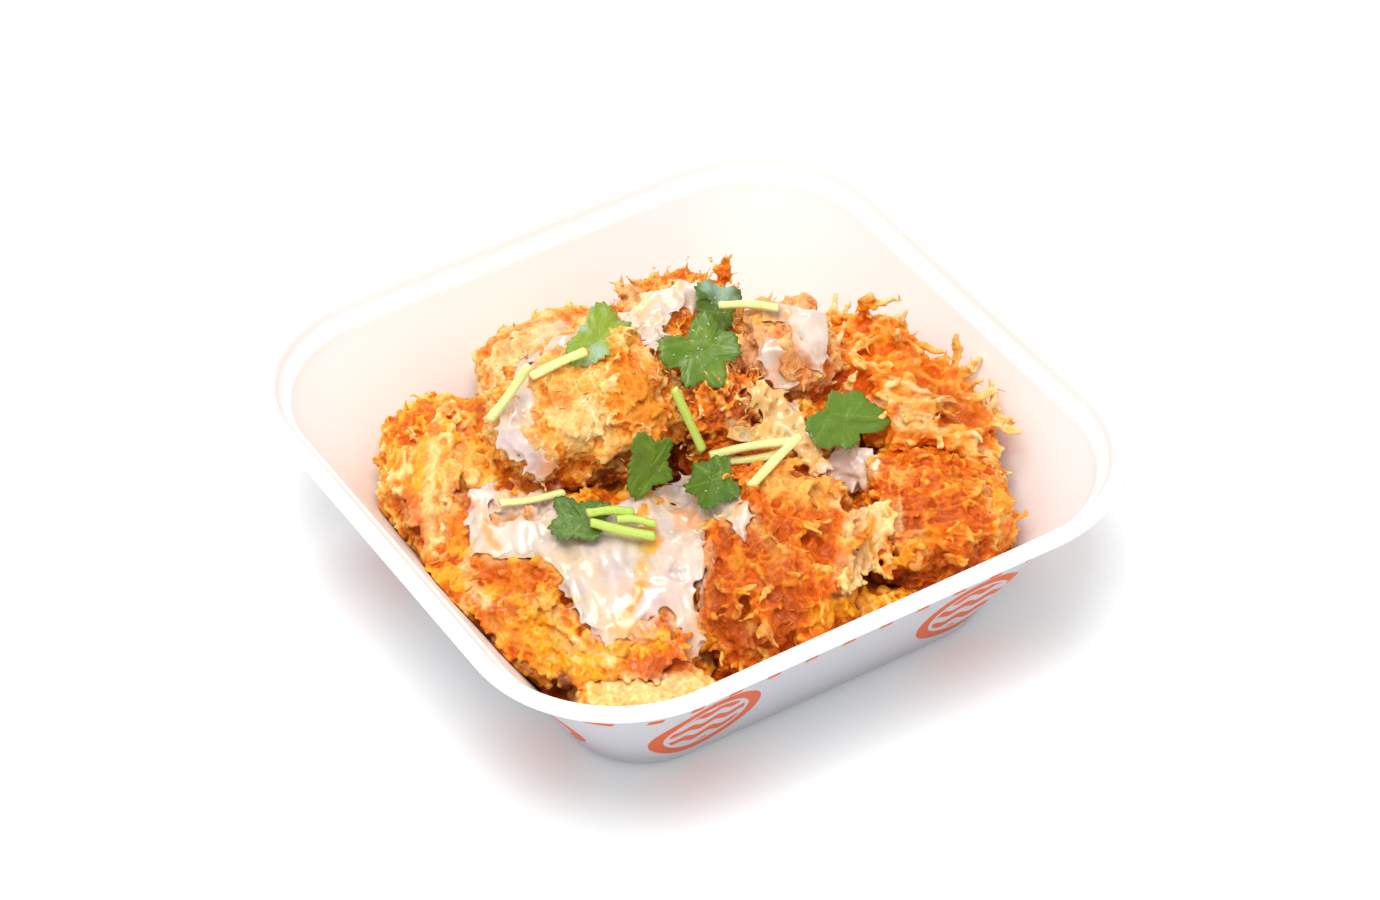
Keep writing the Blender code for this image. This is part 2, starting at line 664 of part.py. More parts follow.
def leaf_reach(angle, lobes):
    """Distance from a leaf's centre to its toothed, lobed edge."""
    reach = LEAF_CORE
    for direction, length, width in lobes:
        off = (math.degrees(angle) - direction + 180) % 360 - 180
        reach = max(reach, length * math.exp(-((off / width) ** 2) * LEAF_LOBE_FALL))
    tooth = 1 + LEAF_TOOTH * math.cos(angle * LEAF_TEETH)
    return reach * tooth


def build_leaf(name, trees, group):
    """A thin wavy leaf that lies over the pieces below."""
    (centre_u, centre_v), lobes = LEAVES[name]
    seed = int(name.split("_")[1])
    spots = [(centre_u, centre_v)]
    for share in (LEAF_INNER_RING, 1.0):
        for k in range(LEAF_RIM_POINTS):
            angle = 2 * math.pi * k / LEAF_RIM_POINTS
            reach = leaf_reach(angle, lobes) * share
            spots.append((centre_u + reach * math.cos(angle), centre_v + reach * math.sin(angle)))
    under = [reach_to(u, v, trees) for u, v in spots]
    deepest = sorted(under)[len(under) // 3] + LEAF_REST_DEPTH
    under = [min(distance, deepest) for distance in under]
    plane = fitted_plane(spots, under)
    plane[1] = max(-LEAF_TILT, min(LEAF_TILT, plane[1]))
    plane[2] = max(-LEAF_TILT, min(LEAF_TILT, plane[2]))
    heights = []
    for (u, v), distance in zip(spots, under):
        flat = plane[0] + plane[1] * (u - centre_u) + plane[2] * (v - centre_v)
        place = Vector((u, v, seed * LEAF_WAVE_SHIFT)) / LEAF_WAVE_SIZE
        wave = noise.noise(place) * LEAF_WAVE
        bend = max(-LEAF_BEND, min(LEAF_BEND, distance - flat))
        heights.append(flat + bend * (1 - LEAF_FOLLOW) + wave)
    lift = max(0.0, max(height - distance for height, distance in zip(heights, under)))
    lift += CONTACT_GAP + LEAF_THICK
    for _ in range(LIFT_LIMIT):
        places = [along_sight(u, v, height - lift) for (u, v), height in zip(spots, heights)]
        leaf = leaf_sheet(name, places, group)
        if is_clear(leaf, trees):
            return leaf
        bpy.data.objects.remove(leaf, do_unlink=True)
        lift += LIFT_STEP
    raise RuntimeError(name + " finds no clear place")


def leaf_sheet(name, places, group):
    """A leaf's upper surface as a fan of two rings, thickened downwards."""
    count = LEAF_RIM_POINTS
    shape = bmesh.new()
    verts = [shape.verts.new(place) for place in places]
    for k in range(count):
        after = (k + 1) % count
        inner, inner_after = 1 + k, 1 + after
        outer, outer_after = 1 + count + k, 1 + count + after
        fan = (0, inner, inner_after)
        for three in (fan, (inner, outer, outer_after), (inner, outer_after, inner_after)):
            shape.faces.new([verts[m] for m in three])
    mesh = bpy.data.meshes.new(name)
    bmesh.ops.scale(shape, vec=(MM, MM, MM), verts=shape.verts)
    shape.to_mesh(mesh)
    shape.free()
    leaf = bpy.data.objects.new(name, mesh)
    group.objects.link(leaf)
    thicken = leaf.modifiers.new("thickness", "SOLIDIFY")
    thicken.thickness = LEAF_THICK * MM
    thicken.offset = -1.0
    return leaf


def fitted_plane(spots, values):
    """Least-squares plane through values at spots, about the first spot."""
    first_u, first_v = spots[0]
    rows = [(1.0, u - first_u, v - first_v, value) for (u, v), value in zip(spots, values)]
    table = [[sum(row[a] * row[b] for row in rows) for b in range(4)] for a in range(3)]
    for a in range(3):
        for b in range(3):
            if a != b:
                share = table[b][a] / table[a][a]
                table[b] = [table[b][k] - share * table[a][k] for k in range(4)]
    return [table[a][3] / table[a][a] for a in range(3)]


def as_built(thing):
    """A bmesh in millimetres of an object with its modifiers, or of a curve with its thickness."""
    bpy.context.view_layer.update()
    graph = bpy.context.evaluated_depsgraph_get()
    mesh = bpy.data.meshes.new_from_object(thing.evaluated_get(graph))
    shape = bmesh.new()
    shape.from_mesh(mesh)
    bpy.data.meshes.remove(mesh)
    bmesh.ops.scale(shape, vec=(1 / MM, 1 / MM, 1 / MM), verts=shape.verts)
    bmesh.ops.remove_doubles(shape, verts=shape.verts, dist=NEEDLE_REACH)
    bmesh.ops.recalc_face_normals(shape, faces=shape.faces)
    return shape


def is_clear(thing, trees):
    """Whether an object, made slightly larger, meets none of the surfaces in the trees."""
    larger = as_built(thing)
    larger.normal_update()
    for vertex in larger.verts:
        vertex.co += vertex.normal * CONTACT_GAP
    tree = BVHTree.FromBMesh(larger)
    larger.free()
    return not any(tree.overlap(other) for other in trees)


def build_stem(name, trees, group):
    """A short, slightly bowed stem that rests on what is below it."""
    start, end, thick = STEMS[name]
    seed = int(name.split("_")[1])
    samples = []
    for part in range(STEM_PARTS + 1):
        share = part / STEM_PARTS
        u = start[0] + (end[0] - start[0]) * share
        v = start[1] + (end[1] - start[1]) * share
        samples.append((share, u, v, reach_to(u, v, trees)))
    first = samples[0][3]
    steepest = STEM_TILT * math.dist(start, end)
    slope = max(-steepest, min(steepest, samples[-1][3] - first))
    lift = thick / 2 + max(0.0, max(first + slope * s - reach for s, _, _, reach in samples))
    for _ in range(LIFT_LIMIT):
        middles = []
        for share, u, v, _ in samples:
            bow = math.sin(share * math.pi) * STEM_BOW * (1 if seed % 2 else -1)
            middles.append(along_sight(u, v + bow, first + slope * share - lift))
        stem = bar(name, middles, [1.0] * len(middles), thick / 2, group)
        if is_clear(stem, trees):
            return stem
        bpy.data.objects.remove(stem, do_unlink=True)
        lift += LIFT_STEP
    raise RuntimeError(name + " finds no clear place")


def bar(name, middles, sizes, radius, group):
    """A round bar as a curve through points, with a share of the radius at each."""
    curve = bpy.data.curves.new(name, "CURVE")
    curve.dimensions = "3D"
    curve.bevel_depth = radius * MM
    curve.bevel_resolution = BAR_RESOLUTION
    curve.use_fill_caps = True
    line = curve.splines.new("POLY")
    line.points.add(len(middles) - 1)
    for point, middle, size in zip(line.points, middles, sizes):
        point.co = (*(middle * MM), 1.0)
        point.radius = size
    thing = bpy.data.objects.new(name, curve)
    group.objects.link(thing)
    return thing


def add_tufts(thing, cutters):
    """Fuses standing crumb tufts to a piece."""
    tree = tree_of(thing)
    middle_of_piece = Vector(CUTLETS[thing.name][0])
    for foot, tip, radius in TUFTS[thing.name]:
        level = (middle_of_piece - Vector(SIGHT_POINT)).dot(sight_line(*foot))
        root = tree.find_nearest(along_sight(*foot, level))[0]
        high = along_sight(*tip, (root - Vector(SIGHT_POINT)).length)
        low = root + (middle_of_piece - root).normalized() * TUFT_SINK
        middle = (low + high) / 2 + Vector(TUFT_BEND)
        curve = bar("tuft", [low, middle, high], TUFT_TAPER, radius, cutters)
        solid = mesh_object("tuft", as_built(curve), cutters)
        bpy.data.objects.remove(curve, do_unlink=True)
        solid.display_type = "WIRE"
        combine(thing, solid, "UNION")


def main():
    clear_scene()
    group = new_collection("katsudon")
    cutters = new_collection("cutters")
    cutters.hide_render = True
    bowl = build_bowl(group)
    bed = build_bed(group)
    solid = [bowl, bed]
    for name in CUTLETS:
        piece = build_cutlet(name, group)
        if name in TUFTS:
            add_tufts(piece, cutters)
        cut_clear(piece, solid, cutters)
        solid.append(piece)
    trees = [tree_of(thing) for thing in solid]
    laid = []
    for name in EGG:
        skin = build_egg(name, trees, group)
        cut_clear(skin, solid + laid, cutters)
        laid.append(skin)
    trees += [tree_of(thing) for thing in laid]
    greens = []
    for name in LEAVES:
        leaf = build_leaf(name, trees, group)
        greens.append(leaf)
        trees.append(tree_of(leaf))
    for name in STEMS:
        stem = build_stem(name, trees, group)
        greens.append(stem)
        trees.append(tree_of(stem))
    bpy.data.collections.remove(cutters)
    for thing in solid + laid + greens:
        thing.data.materials.clear()
        thing.data.materials.append(material_for(thing.name))


main()
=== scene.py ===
"""Katsudon in a square takeaway bowl: the looks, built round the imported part."""

import math

import bpy
import numpy as np
from mathutils import Matrix, Vector
from mathutils.bvhtree import BVHTree


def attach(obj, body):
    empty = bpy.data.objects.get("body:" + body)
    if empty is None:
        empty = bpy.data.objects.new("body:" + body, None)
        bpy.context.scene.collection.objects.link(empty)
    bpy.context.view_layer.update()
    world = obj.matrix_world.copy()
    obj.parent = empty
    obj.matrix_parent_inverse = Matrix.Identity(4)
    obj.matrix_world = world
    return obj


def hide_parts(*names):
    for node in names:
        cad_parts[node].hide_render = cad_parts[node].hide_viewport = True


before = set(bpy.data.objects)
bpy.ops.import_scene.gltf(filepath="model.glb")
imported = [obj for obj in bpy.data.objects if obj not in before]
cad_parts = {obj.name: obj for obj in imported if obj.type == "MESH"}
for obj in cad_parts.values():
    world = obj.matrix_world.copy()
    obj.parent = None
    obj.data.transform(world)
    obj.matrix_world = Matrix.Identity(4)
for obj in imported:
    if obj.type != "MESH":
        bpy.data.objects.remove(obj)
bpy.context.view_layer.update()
MM = 0.001

# The photograph's camera, in millimetres and pixels of a 1380 by 900 picture
EYE = np.array([-415.92, -705.09, 744.37])
EYE_RIGHT = np.array([0.84983, -0.52646, -0.02503])
EYE_UP = np.array([0.36063, 0.54619, 0.75606])
EYE_BACK = np.array([-0.38436, -0.65155, 0.65403])
EYE_FOCAL = 4556.27
PICTURE = (1380, 900)
SENSOR = 36.0

# Colours as the eye reads them, from 0 to 1
PALETTE = {
    "gold": (0.95, 0.60, 0.14),
    "pale_gold": (0.97, 0.74, 0.36),
    "cream": (0.99, 0.86, 0.60),
    "orange": (0.90, 0.44, 0.05),
    "deep_orange": (0.85, 0.38, 0.04),
    "rust": (0.72, 0.30, 0.04),
    "brown": (0.42, 0.18, 0.04),
    "yellow": (0.99, 0.69, 0.09),
    "yolk": (0.98, 0.60, 0.02),
    "rosy": (0.93, 0.66, 0.45),
    "white": (0.95, 0.86, 0.79),
    "veil": (0.89, 0.80, 0.725),
    "pink": (0.91, 0.78, 0.70),
    "lilac": (0.87, 0.79, 0.78),
    "peach": (0.95, 0.77, 0.50),
    "grey": (0.88, 0.79, 0.73),
    "curd": (0.97, 0.81, 0.46),
    "leaf": (0.39, 0.52, 0.14),
    "leaf_dark": (0.32, 0.45, 0.13),
    "leaf_light": (0.57, 0.66, 0.20),
    "drop": (0.70, 0.80, 0.60),
    # The next colour is painted sheen, a pale colour that stands for light reflected off the leaves
    "leaf_painted_sheen": (0.66, 0.78, 0.70),
    "stem": (0.94, 0.97, 0.66),
    "stem_green": (0.78, 0.88, 0.40),
}


def linear(name):
    """A palette colour as the light values that a shader wants."""
    srgb = np.array(PALETTE[name] if isinstance(name, str) else name)
    return np.where(srgb <= 0.04045, srgb / 12.92, ((srgb + 0.055) / 1.055) ** 2.4)


# Numbers that stir whole-number cells into even noise
HASH_PRIMES = (73856093, 19349663, 83492791)
HASH_STEP, HASH_START = 97531, 12345
HASH_STIRS = ((15, 224682251), (13, 326648991))
ALL_BITS = 0xFFFFFFFF


def scattered_value(cells, seed):
    """One value from 0 to 1 for each whole-number cell, always the same for the same seed."""
    across, along, up = HASH_PRIMES
    value = cells[..., 0] * across ^ cells[..., 1] * along ^ cells[..., 2] * up
    value = (value ^ (seed * HASH_STEP + HASH_START)) & ALL_BITS
    for shift, factor in HASH_STIRS:
        value = ((value ^ (value >> shift)) * factor) & ALL_BITS
    return (value ^ (value >> 16)) / ALL_BITS


def lumps(points, size, seed=0):
    """Smooth noise from -1 to 1 whose lumps are about as large as size."""
    scaled = points / size
    low = np.floor(scaled).astype(np.int64)
    part = scaled - low
    part = part * part * (3 - 2 * part)
    total = np.zeros(len(points))
    for corner in range(8):
        offset = np.array([corner & 1, corner >> 1 & 1, corner >> 2 & 1])
        weight = np.prod(np.where(offset, part, 1 - part), axis=1)
        total += scattered_value(low + offset, seed) * weight
    return total * 2 - 1


def layered(points, size, layers, seed=0):
    """Lumps with finer lumps on them, from about -1 to 1."""
    total = np.zeros(len(points))
    weight = 0.0
    for k in range(layers):
        total += lumps(points, size / 2**k, seed + k * 31) / 2**k
        weight += 0.6 / 2**k
    return np.clip(total / weight, -1.3, 1.3)


def crinkle(points, size, seed=0, grain=None, drawn_out=0.55):
    """Bent ridges of about this size, from about -0.6 to 1, drawn out along the grain."""
    if grain is not None and np.linalg.norm(grain) > 0.1:
        grain = grain / np.linalg.norm(grain)
        points = points - np.outer(points @ grain, grain) * drawn_out
    bend = np.stack([lumps(points, size * 1.7, seed + k) for k in (1, 2, 3)], axis=1)
    bent = points + bend * size * 0.6
    wide = 1 - np.abs(lumps(bent, size, seed + 4)) * 2.6
    fine = 1 - np.abs(lumps(bent, size * 0.42, seed + 5)) * 2.4
    return np.clip(wide, -0.7, 1) * 0.68 + np.clip(fine, -0.7, 1) * 0.32


def cell_distance(points, size, seed=0):
    """Distance to the nearest of a set of scattered points, in units of their spacing."""
    scaled = points / size
    low = np.floor(scaled).astype(np.int64)
    best = np.full(len(points), 9.0)
    for dx in (-1, 0, 1):
        for dy in (-1, 0, 1):
            for dz in (-1, 0, 1):
                cell = low + np.array([dx, dy, dz])
                spot = cell + np.stack([scattered_value(cell, seed + k) for k in range(3)], axis=1)
                best = np.minimum(best, np.linalg.norm(scaled - spot, axis=1))
    return best


def smooth_step(value, low, high):
    share = np.clip((value - low) / (high - low), 0, 1)
    return share * share * (3 - 2 * share)


def mixed(one, other, share):
    share = np.asarray(share)
    return one + (other - one) * (share[:, None] if share.ndim else share)


def ramp(value, stops):
    """Colours along a ramp, whose stops are text: place, palette name, place, palette name and so on."""
    words = stops.split()
    places = [float(word) for word in words[::2]]
    shades = np.array([linear(name) for name in words[1::2]])
    return np.stack([np.interp(value, places, shades[:, k]) for k in range(3)], axis=1)


def plain_tone(name, count):
    return np.tile(linear(name), (count, 1))


# Meshes as arrays


def welded(points, tris):
    """Joins points that coincide, and drops triangles that have no area."""
    keys = np.round(points, 3)
    kept, first, back = np.unique(keys, axis=0, return_index=True, return_inverse=True)
    tris = back.reshape(-1)[tris]
    sound = (tris[:, 0] != tris[:, 1]) & (tris[:, 1] != tris[:, 2]) & (tris[:, 0] != tris[:, 2])
    return points[first], tris[sound]


def arrays_of(mesh, scale=1.0):
    """Points and triangles of a Blender mesh."""
    points = np.empty(len(mesh.vertices) * 3, np.float32)
    mesh.vertices.foreach_get("co", points)
    mesh.calc_loop_triangles()
    tris = np.empty(len(mesh.loop_triangles) * 3, np.int32)
    mesh.loop_triangles.foreach_get("vertices", tris)
    return points.reshape(-1, 3).astype(float) * scale, tris.reshape(-1, 3)


def mesh_of(points, tris, name="work"):
    """A Blender mesh from points and triangles."""
    mesh = bpy.data.meshes.new(name)
    mesh.vertices.add(len(points))
    mesh.vertices.foreach_set("co", np.ascontiguousarray(points, np.float32).ravel())
    mesh.loops.add(len(tris) * 3)
    mesh.loops.foreach_set("vertex_index", np.ascontiguousarray(tris, np.int32).ravel())
    mesh.polygons.add(len(tris))
    mesh.polygons.foreach_set("loop_start", np.arange(0, len(tris) * 3, 3, dtype=np.int32))
    mesh.update(calc_edges=True)
    return mesh


def face_normals(points, tris):
    a, b, c = points[tris[:, 0]], points[tris[:, 1]], points[tris[:, 2]]
    return np.cross(b - a, c - a)


def point_normals(points, tris):
    """Unit normals at the points."""
    faces = face_normals(points, tris)
    normals = np.zeros_like(points)
    for k in range(3):
        for axis in range(3):
            normals[:, axis] += np.bincount(tris[:, k], faces[:, axis], len(points))
    return normals / np.maximum(np.linalg.norm(normals, axis=1), 1e-9)[:, None]


def neighbour_mean(values, tris, rounds=1, share=1.0):
    """Values at the points, evened out with their neighbours."""
    ends = np.concatenate([tris[:, [0, 1]], tris[:, [1, 2]], tris[:, [2, 0]]])
    count = np.maximum(np.bincount(ends[:, 0], minlength=len(values)), 1)
    flat = values.ndim == 1
    values = values[:, None] if flat else values
    for _ in range(rounds):
        columns = [np.bincount(ends[:, 0], column, len(values)) for column in values[ends[:, 1]].T]
        mean = np.stack(columns, axis=1)
        values = values + (mean / count[:, None] - values) * share
    return values[:, 0] if flat else values


def hollow_depth(points, tris, normals, rounds=3):
    """How far each point lies below (positive) or above (negative) the mean of its surroundings, in mm."""
    mean = neighbour_mean(points, tris, rounds)
    return np.einsum("ij,ij->i", mean - points, normals)


def joined(parts):
    """Several (points, triangles) as one."""
    points, tris, start = [], [], 0
    for some_points, some_tris in parts:
        points.append(some_points)
        tris.append(some_tris + start)
        start += len(some_points)
    return np.concatenate(points), np.concatenate(tris)


def tree_of(points, tris):
    return BVHTree.FromPolygons(points.tolist(), tris.tolist(), all_triangles=True)


def linked(name, data):
    """A new object in the scene."""
    thing = bpy.data.objects.new(name, data)
    bpy.context.scene.collection.objects.link(thing)
    return thing


def applied(thing):
    """The object's mesh with its modifiers applied; the object goes."""
    done = bpy.data.meshes.new_from_object(thing.evaluated_get(bpy.context.evaluated_depsgraph_get()))
    bpy.data.objects.remove(thing)
    return done


def fused(parts, cell, rounds, hidden=None):
    """One skin round overlapping closed pieces; hidden(points) says which points may be coarse."""
    thing = linked("work", mesh_of(*joined(parts)))
    fuse = thing.modifiers.new("fuse", "REMESH")
    fuse.mode = "VOXEL"
    fuse.voxel_size = cell
    if rounds:
        soften = thing.modifiers.new("soften", "SMOOTH")
        soften.factor = 0.5
        soften.iterations = rounds
    skin = applied(thing)
    if hidden is not None:
        skin = coarser_where_hidden(skin, hidden)
    result = arrays_of(skin)
    bpy.data.meshes.remove(skin)
    return result


def coarser_where_hidden(skin, hidden, left=0.12, least=0.05):
    """Collapses the points that no view reaches, down to the share left."""
    points = np.empty(len(skin.vertices) * 3, np.float32)
    skin.vertices.foreach_get("co", points)
    chosen = hidden(points.reshape(-1, 3).astype(float))
    if chosen.mean() < least:
        return skin
    thing = linked("work", skin)
    group = thing.vertex_groups.new(name="hidden")
    group.add(np.flatnonzero(chosen).tolist(), 1.0, "REPLACE")
    collapse = thing.modifiers.new("collapse", "DECIMATE")
    collapse.vertex_group = "hidden"
    collapse.vertex_group_factor = 10.0
    collapse.ratio = 1 - chosen.mean() * (1 - left)
    done = applied(thing)
    bpy.data.meshes.remove(skin)
    return done


def tube_faces(rows, turns, closed=True):
    """Triangles of a tube whose rows of points go once round; closed ends meet at two last points."""
    made = []
    for row in range(rows - 1):
        for k in range(turns):
            a, b = row * turns + k, row * turns + (k + 1) % turns
            made += [(a, b, b + turns), (a, b + turns, a + turns)]
    last = (rows - 1) * turns
    for k in range(turns if closed else 0):
        after = (k + 1) % turns
        made += [(rows * turns, after, k), (rows * turns + 1, last + k, last + after)]
    return made


def repeated(faces, count, size):
    """The triangles of count like pieces that have size points each."""
    return (np.array(faces)[None] + (np.arange(count) * size)[:, None, None]).reshape(-1, 3)


def unit(vectors):
    return vectors / np.maximum(np.linalg.norm(vectors, axis=1), 1e-9)[:, None]


def beside(ways, normals):
    """Unit directions left of the ways when what runs along the normals is taken out."""
    return unit(ways - np.einsum("ij,ij->i", ways, normals)[:, None] * normals)


# Materials


def add_node(nodes, kind, **values):
    """A new shader node with some inputs set; their names have _ for each space."""
    node = nodes.new("ShaderNode" + kind)
    set_inputs(node, **values)
    return node


def set_inputs(node, **values):
    for name, value in values.items():
        node.inputs[name.replace("_", " ")].default_value = value


def material(name, roughness=0.5, coat=0.0, coat_roughness=0.2, glow=0.0, glow_size=1.0, speckle=0.1,
             speckle_size=0.5, bump=0.2, bump_size=0.4, ior=1.45, roughness_swing=0.12, specular=0.5):
    """A material whose colour is the piece's own tone, with fine procedural variation and relief."""
    made = bpy.data.materials.new(name)
    made.use_nodes = True
    nodes, links = made.node_tree.nodes, made.node_tree.links
    shader = nodes["Principled BSDF"]
    set_inputs(shader, IOR=ior, Specular_IOR_Level=specular, Coat_Weight=coat, Coat_Roughness=coat_roughness,
               Subsurface_Weight=glow, Subsurface_Radius=(1.0, 0.45, 0.2), Subsurface_Scale=glow_size * MM)
    place = add_node(nodes, "TexCoord").outputs["Object"]

    def noise(size, detail):
        grain = add_node(nodes, "TexNoise", Scale=1 / (size * MM), Detail=detail)
        links.new(place, grain.inputs["Vector"])
        return grain.outputs["Fac"]

    def swung(low, high):
        swing = add_node(nodes, "MapRange", From_Min=0.3, From_Max=0.7, To_Min=low, To_Max=high)
        links.new(fine, swing.inputs["Value"])
        return swing.outputs["Result"]

    fine = noise(speckle_size, 3.0)
    tone = add_node(nodes, "Attribute")
    tone.attribute_name = "tone"
    shade = add_node(nodes, "VectorMath")
    shade.operation = "SCALE"
    links.new(tone.outputs["Color"], shade.inputs[0])
    links.new(swung(1 - speckle, 1 + speckle), shade.inputs["Scale"])
    links.new(shade.outputs["Vector"], shader.inputs["Base Color"])
    gloss = swung(max(0.05, roughness - roughness_swing), roughness + roughness_swing)
    links.new(gloss, shader.inputs["Roughness"])
    if bump:
        relief = add_node(nodes, "Bump", Strength=bump, Distance=bump_size * MM)
        links.new(noise(bump_size, 4.0), relief.inputs["Height"])
        links.new(relief.outputs["Normal"], shader.inputs["Normal"])
    return made


MATERIALS = {
    "crust": material("fried_crumb_soaked_in_egg", 0.48, 0.12, 0.12, 0.10, 1.0, 0.16, 0.45, 0.45, 0.35,
                      specular=0.22),
    "egg": material("soft_egg_white", 0.24, 0.45, 0.08, 0.30, 2.0, 0.03, 1.2, 0.04, 0.8,
                    roughness_swing=0.06),
    "yolk": material("soft_yolk", 0.36, 0.25, 0.12, 0.15, 1.5, 0.08, 0.9, 0.25, 0.5, roughness_swing=0.08,
                     specular=0.4),
    "leaf": material("mitsuba_leaf", 0.38, 0.12, 0.15, 0.08, 0.4, 0.10, 0.5, 0.25, 0.25),
    "stem": material("mitsuba_stem", 0.35, 0.10, 0.15, 0.20, 0.8, 0.08, 0.6, 0.15, 0.4),
    "water": material("clear_water", 0.06, 0.6, 0.03, 0.0, 1.0, 0.02, 1.0, 0.0, 1.0, ior=1.33,
                      roughness_swing=0.01),
    "bed": material("rice_and_egg_in_sauce", 0.34, 0.30, 0.15, 0.20, 1.5, 0.15, 0.8, 0.25, 0.5),
}


def add_piece(name, points, tris, tone, kind, slot, *nodes, smooth=True):
    """Makes a shown piece from arrays in millimetres, which stands for CAD nodes and rides on the body."""
    mesh = mesh_of(points * MM, tris, name)
    shades = np.ones((len(points), 4), np.float32)
    shades[:, :3] = np.clip(tone, 0, 1)
    mesh.color_attributes.new("tone", "FLOAT_COLOR", "POINT").data.foreach_set("color", shades.ravel())
    mesh.materials.append(MATERIALS[kind] if isinstance(kind, str) else kind)
    if smooth:
        mesh.polygons.foreach_set("use_smooth", np.ones(len(mesh.polygons), bool))
    piece = linked(name, mesh)
    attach(piece, "root")
    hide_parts(*nodes)
    return piece


# The frame's solids as arrays, in millimetres

SOLID = {}
for node_name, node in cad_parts.items():
    SOLID[node_name] = welded(*arrays_of(node.data, 1000.0))
CRUST_NODES = [n for n in SOLID if n.startswith(("cutlet", "crumb"))]
CURD_NODES = ["egg_curds_corner", "egg_curds_right"]
SKIN_NODES = [n for n in SOLID if n.startswith("egg") and n not in CURD_NODES]
BODY_NODES = CRUST_NODES + CURD_NODES
BED_NODE = "bed_of_rice_and_egg"
FOOD_TREE = tree_of(*joined([SOLID[n] for n in BODY_NODES + SKIN_NODES + [BED_NODE]]))
BODY_TREE = tree_of(*joined([SOLID[n] for n in BODY_NODES + [BED_NODE]]))
SKIN_TREE = tree_of(*joined([SOLID[n] for n in SKIN_NODES]))
ALL_TREE = tree_of(*joined(list(SOLID.values())))


def sky_directions(count=26, lowest=0.12, span=0.86, turn_step=2.39996):
    """Directions spread over the sky, a little above the horizon and up."""
    found = []
    for k in range(count):
        height = lowest + span * (k + 0.5) / count
        turn = k * turn_step
        reach = math.sqrt(1 - height * height)
        found.append(Vector((reach * math.cos(turn), reach * math.sin(turn), height)))
    return found


SKY = sky_directions()


def sky_share(points, normals, start_gap=0.6, graze=-0.35):
    """The share of the sky that each point sees past every solid."""
    shares = np.zeros(len(points))
    for k, (point, normal) in enumerate(zip(points, normals)):
        start = Vector(point + normal * start_gap)
        open_ways = [way for way in SKY if way.dot(Vector(normal)) > graze]
        shares[k] = sum(ALL_TREE.ray_cast(start, way)[0] is None for way in open_ways) / len(SKY)
    return shares


def sight_ray(px, py):
    """Direction from the photograph's eye through a place in the picture."""
    across = (px - PICTURE[0] / 2) / EYE_FOCAL
    up = (PICTURE[1] / 2 - py) / EYE_FOCAL
    way = EYE_RIGHT * across + EYE_UP * up - EYE_BACK
    return Vector(way).normalized()


def on_food(px, py, tree=None):
    """The point of the food, or of another tree, that shows at a place in the picture, or None."""
    hit = (tree or FOOD_TREE).ray_cast(Vector(EYE), sight_ray(px, py))[0]
    return None if hit is None else np.array(hit)
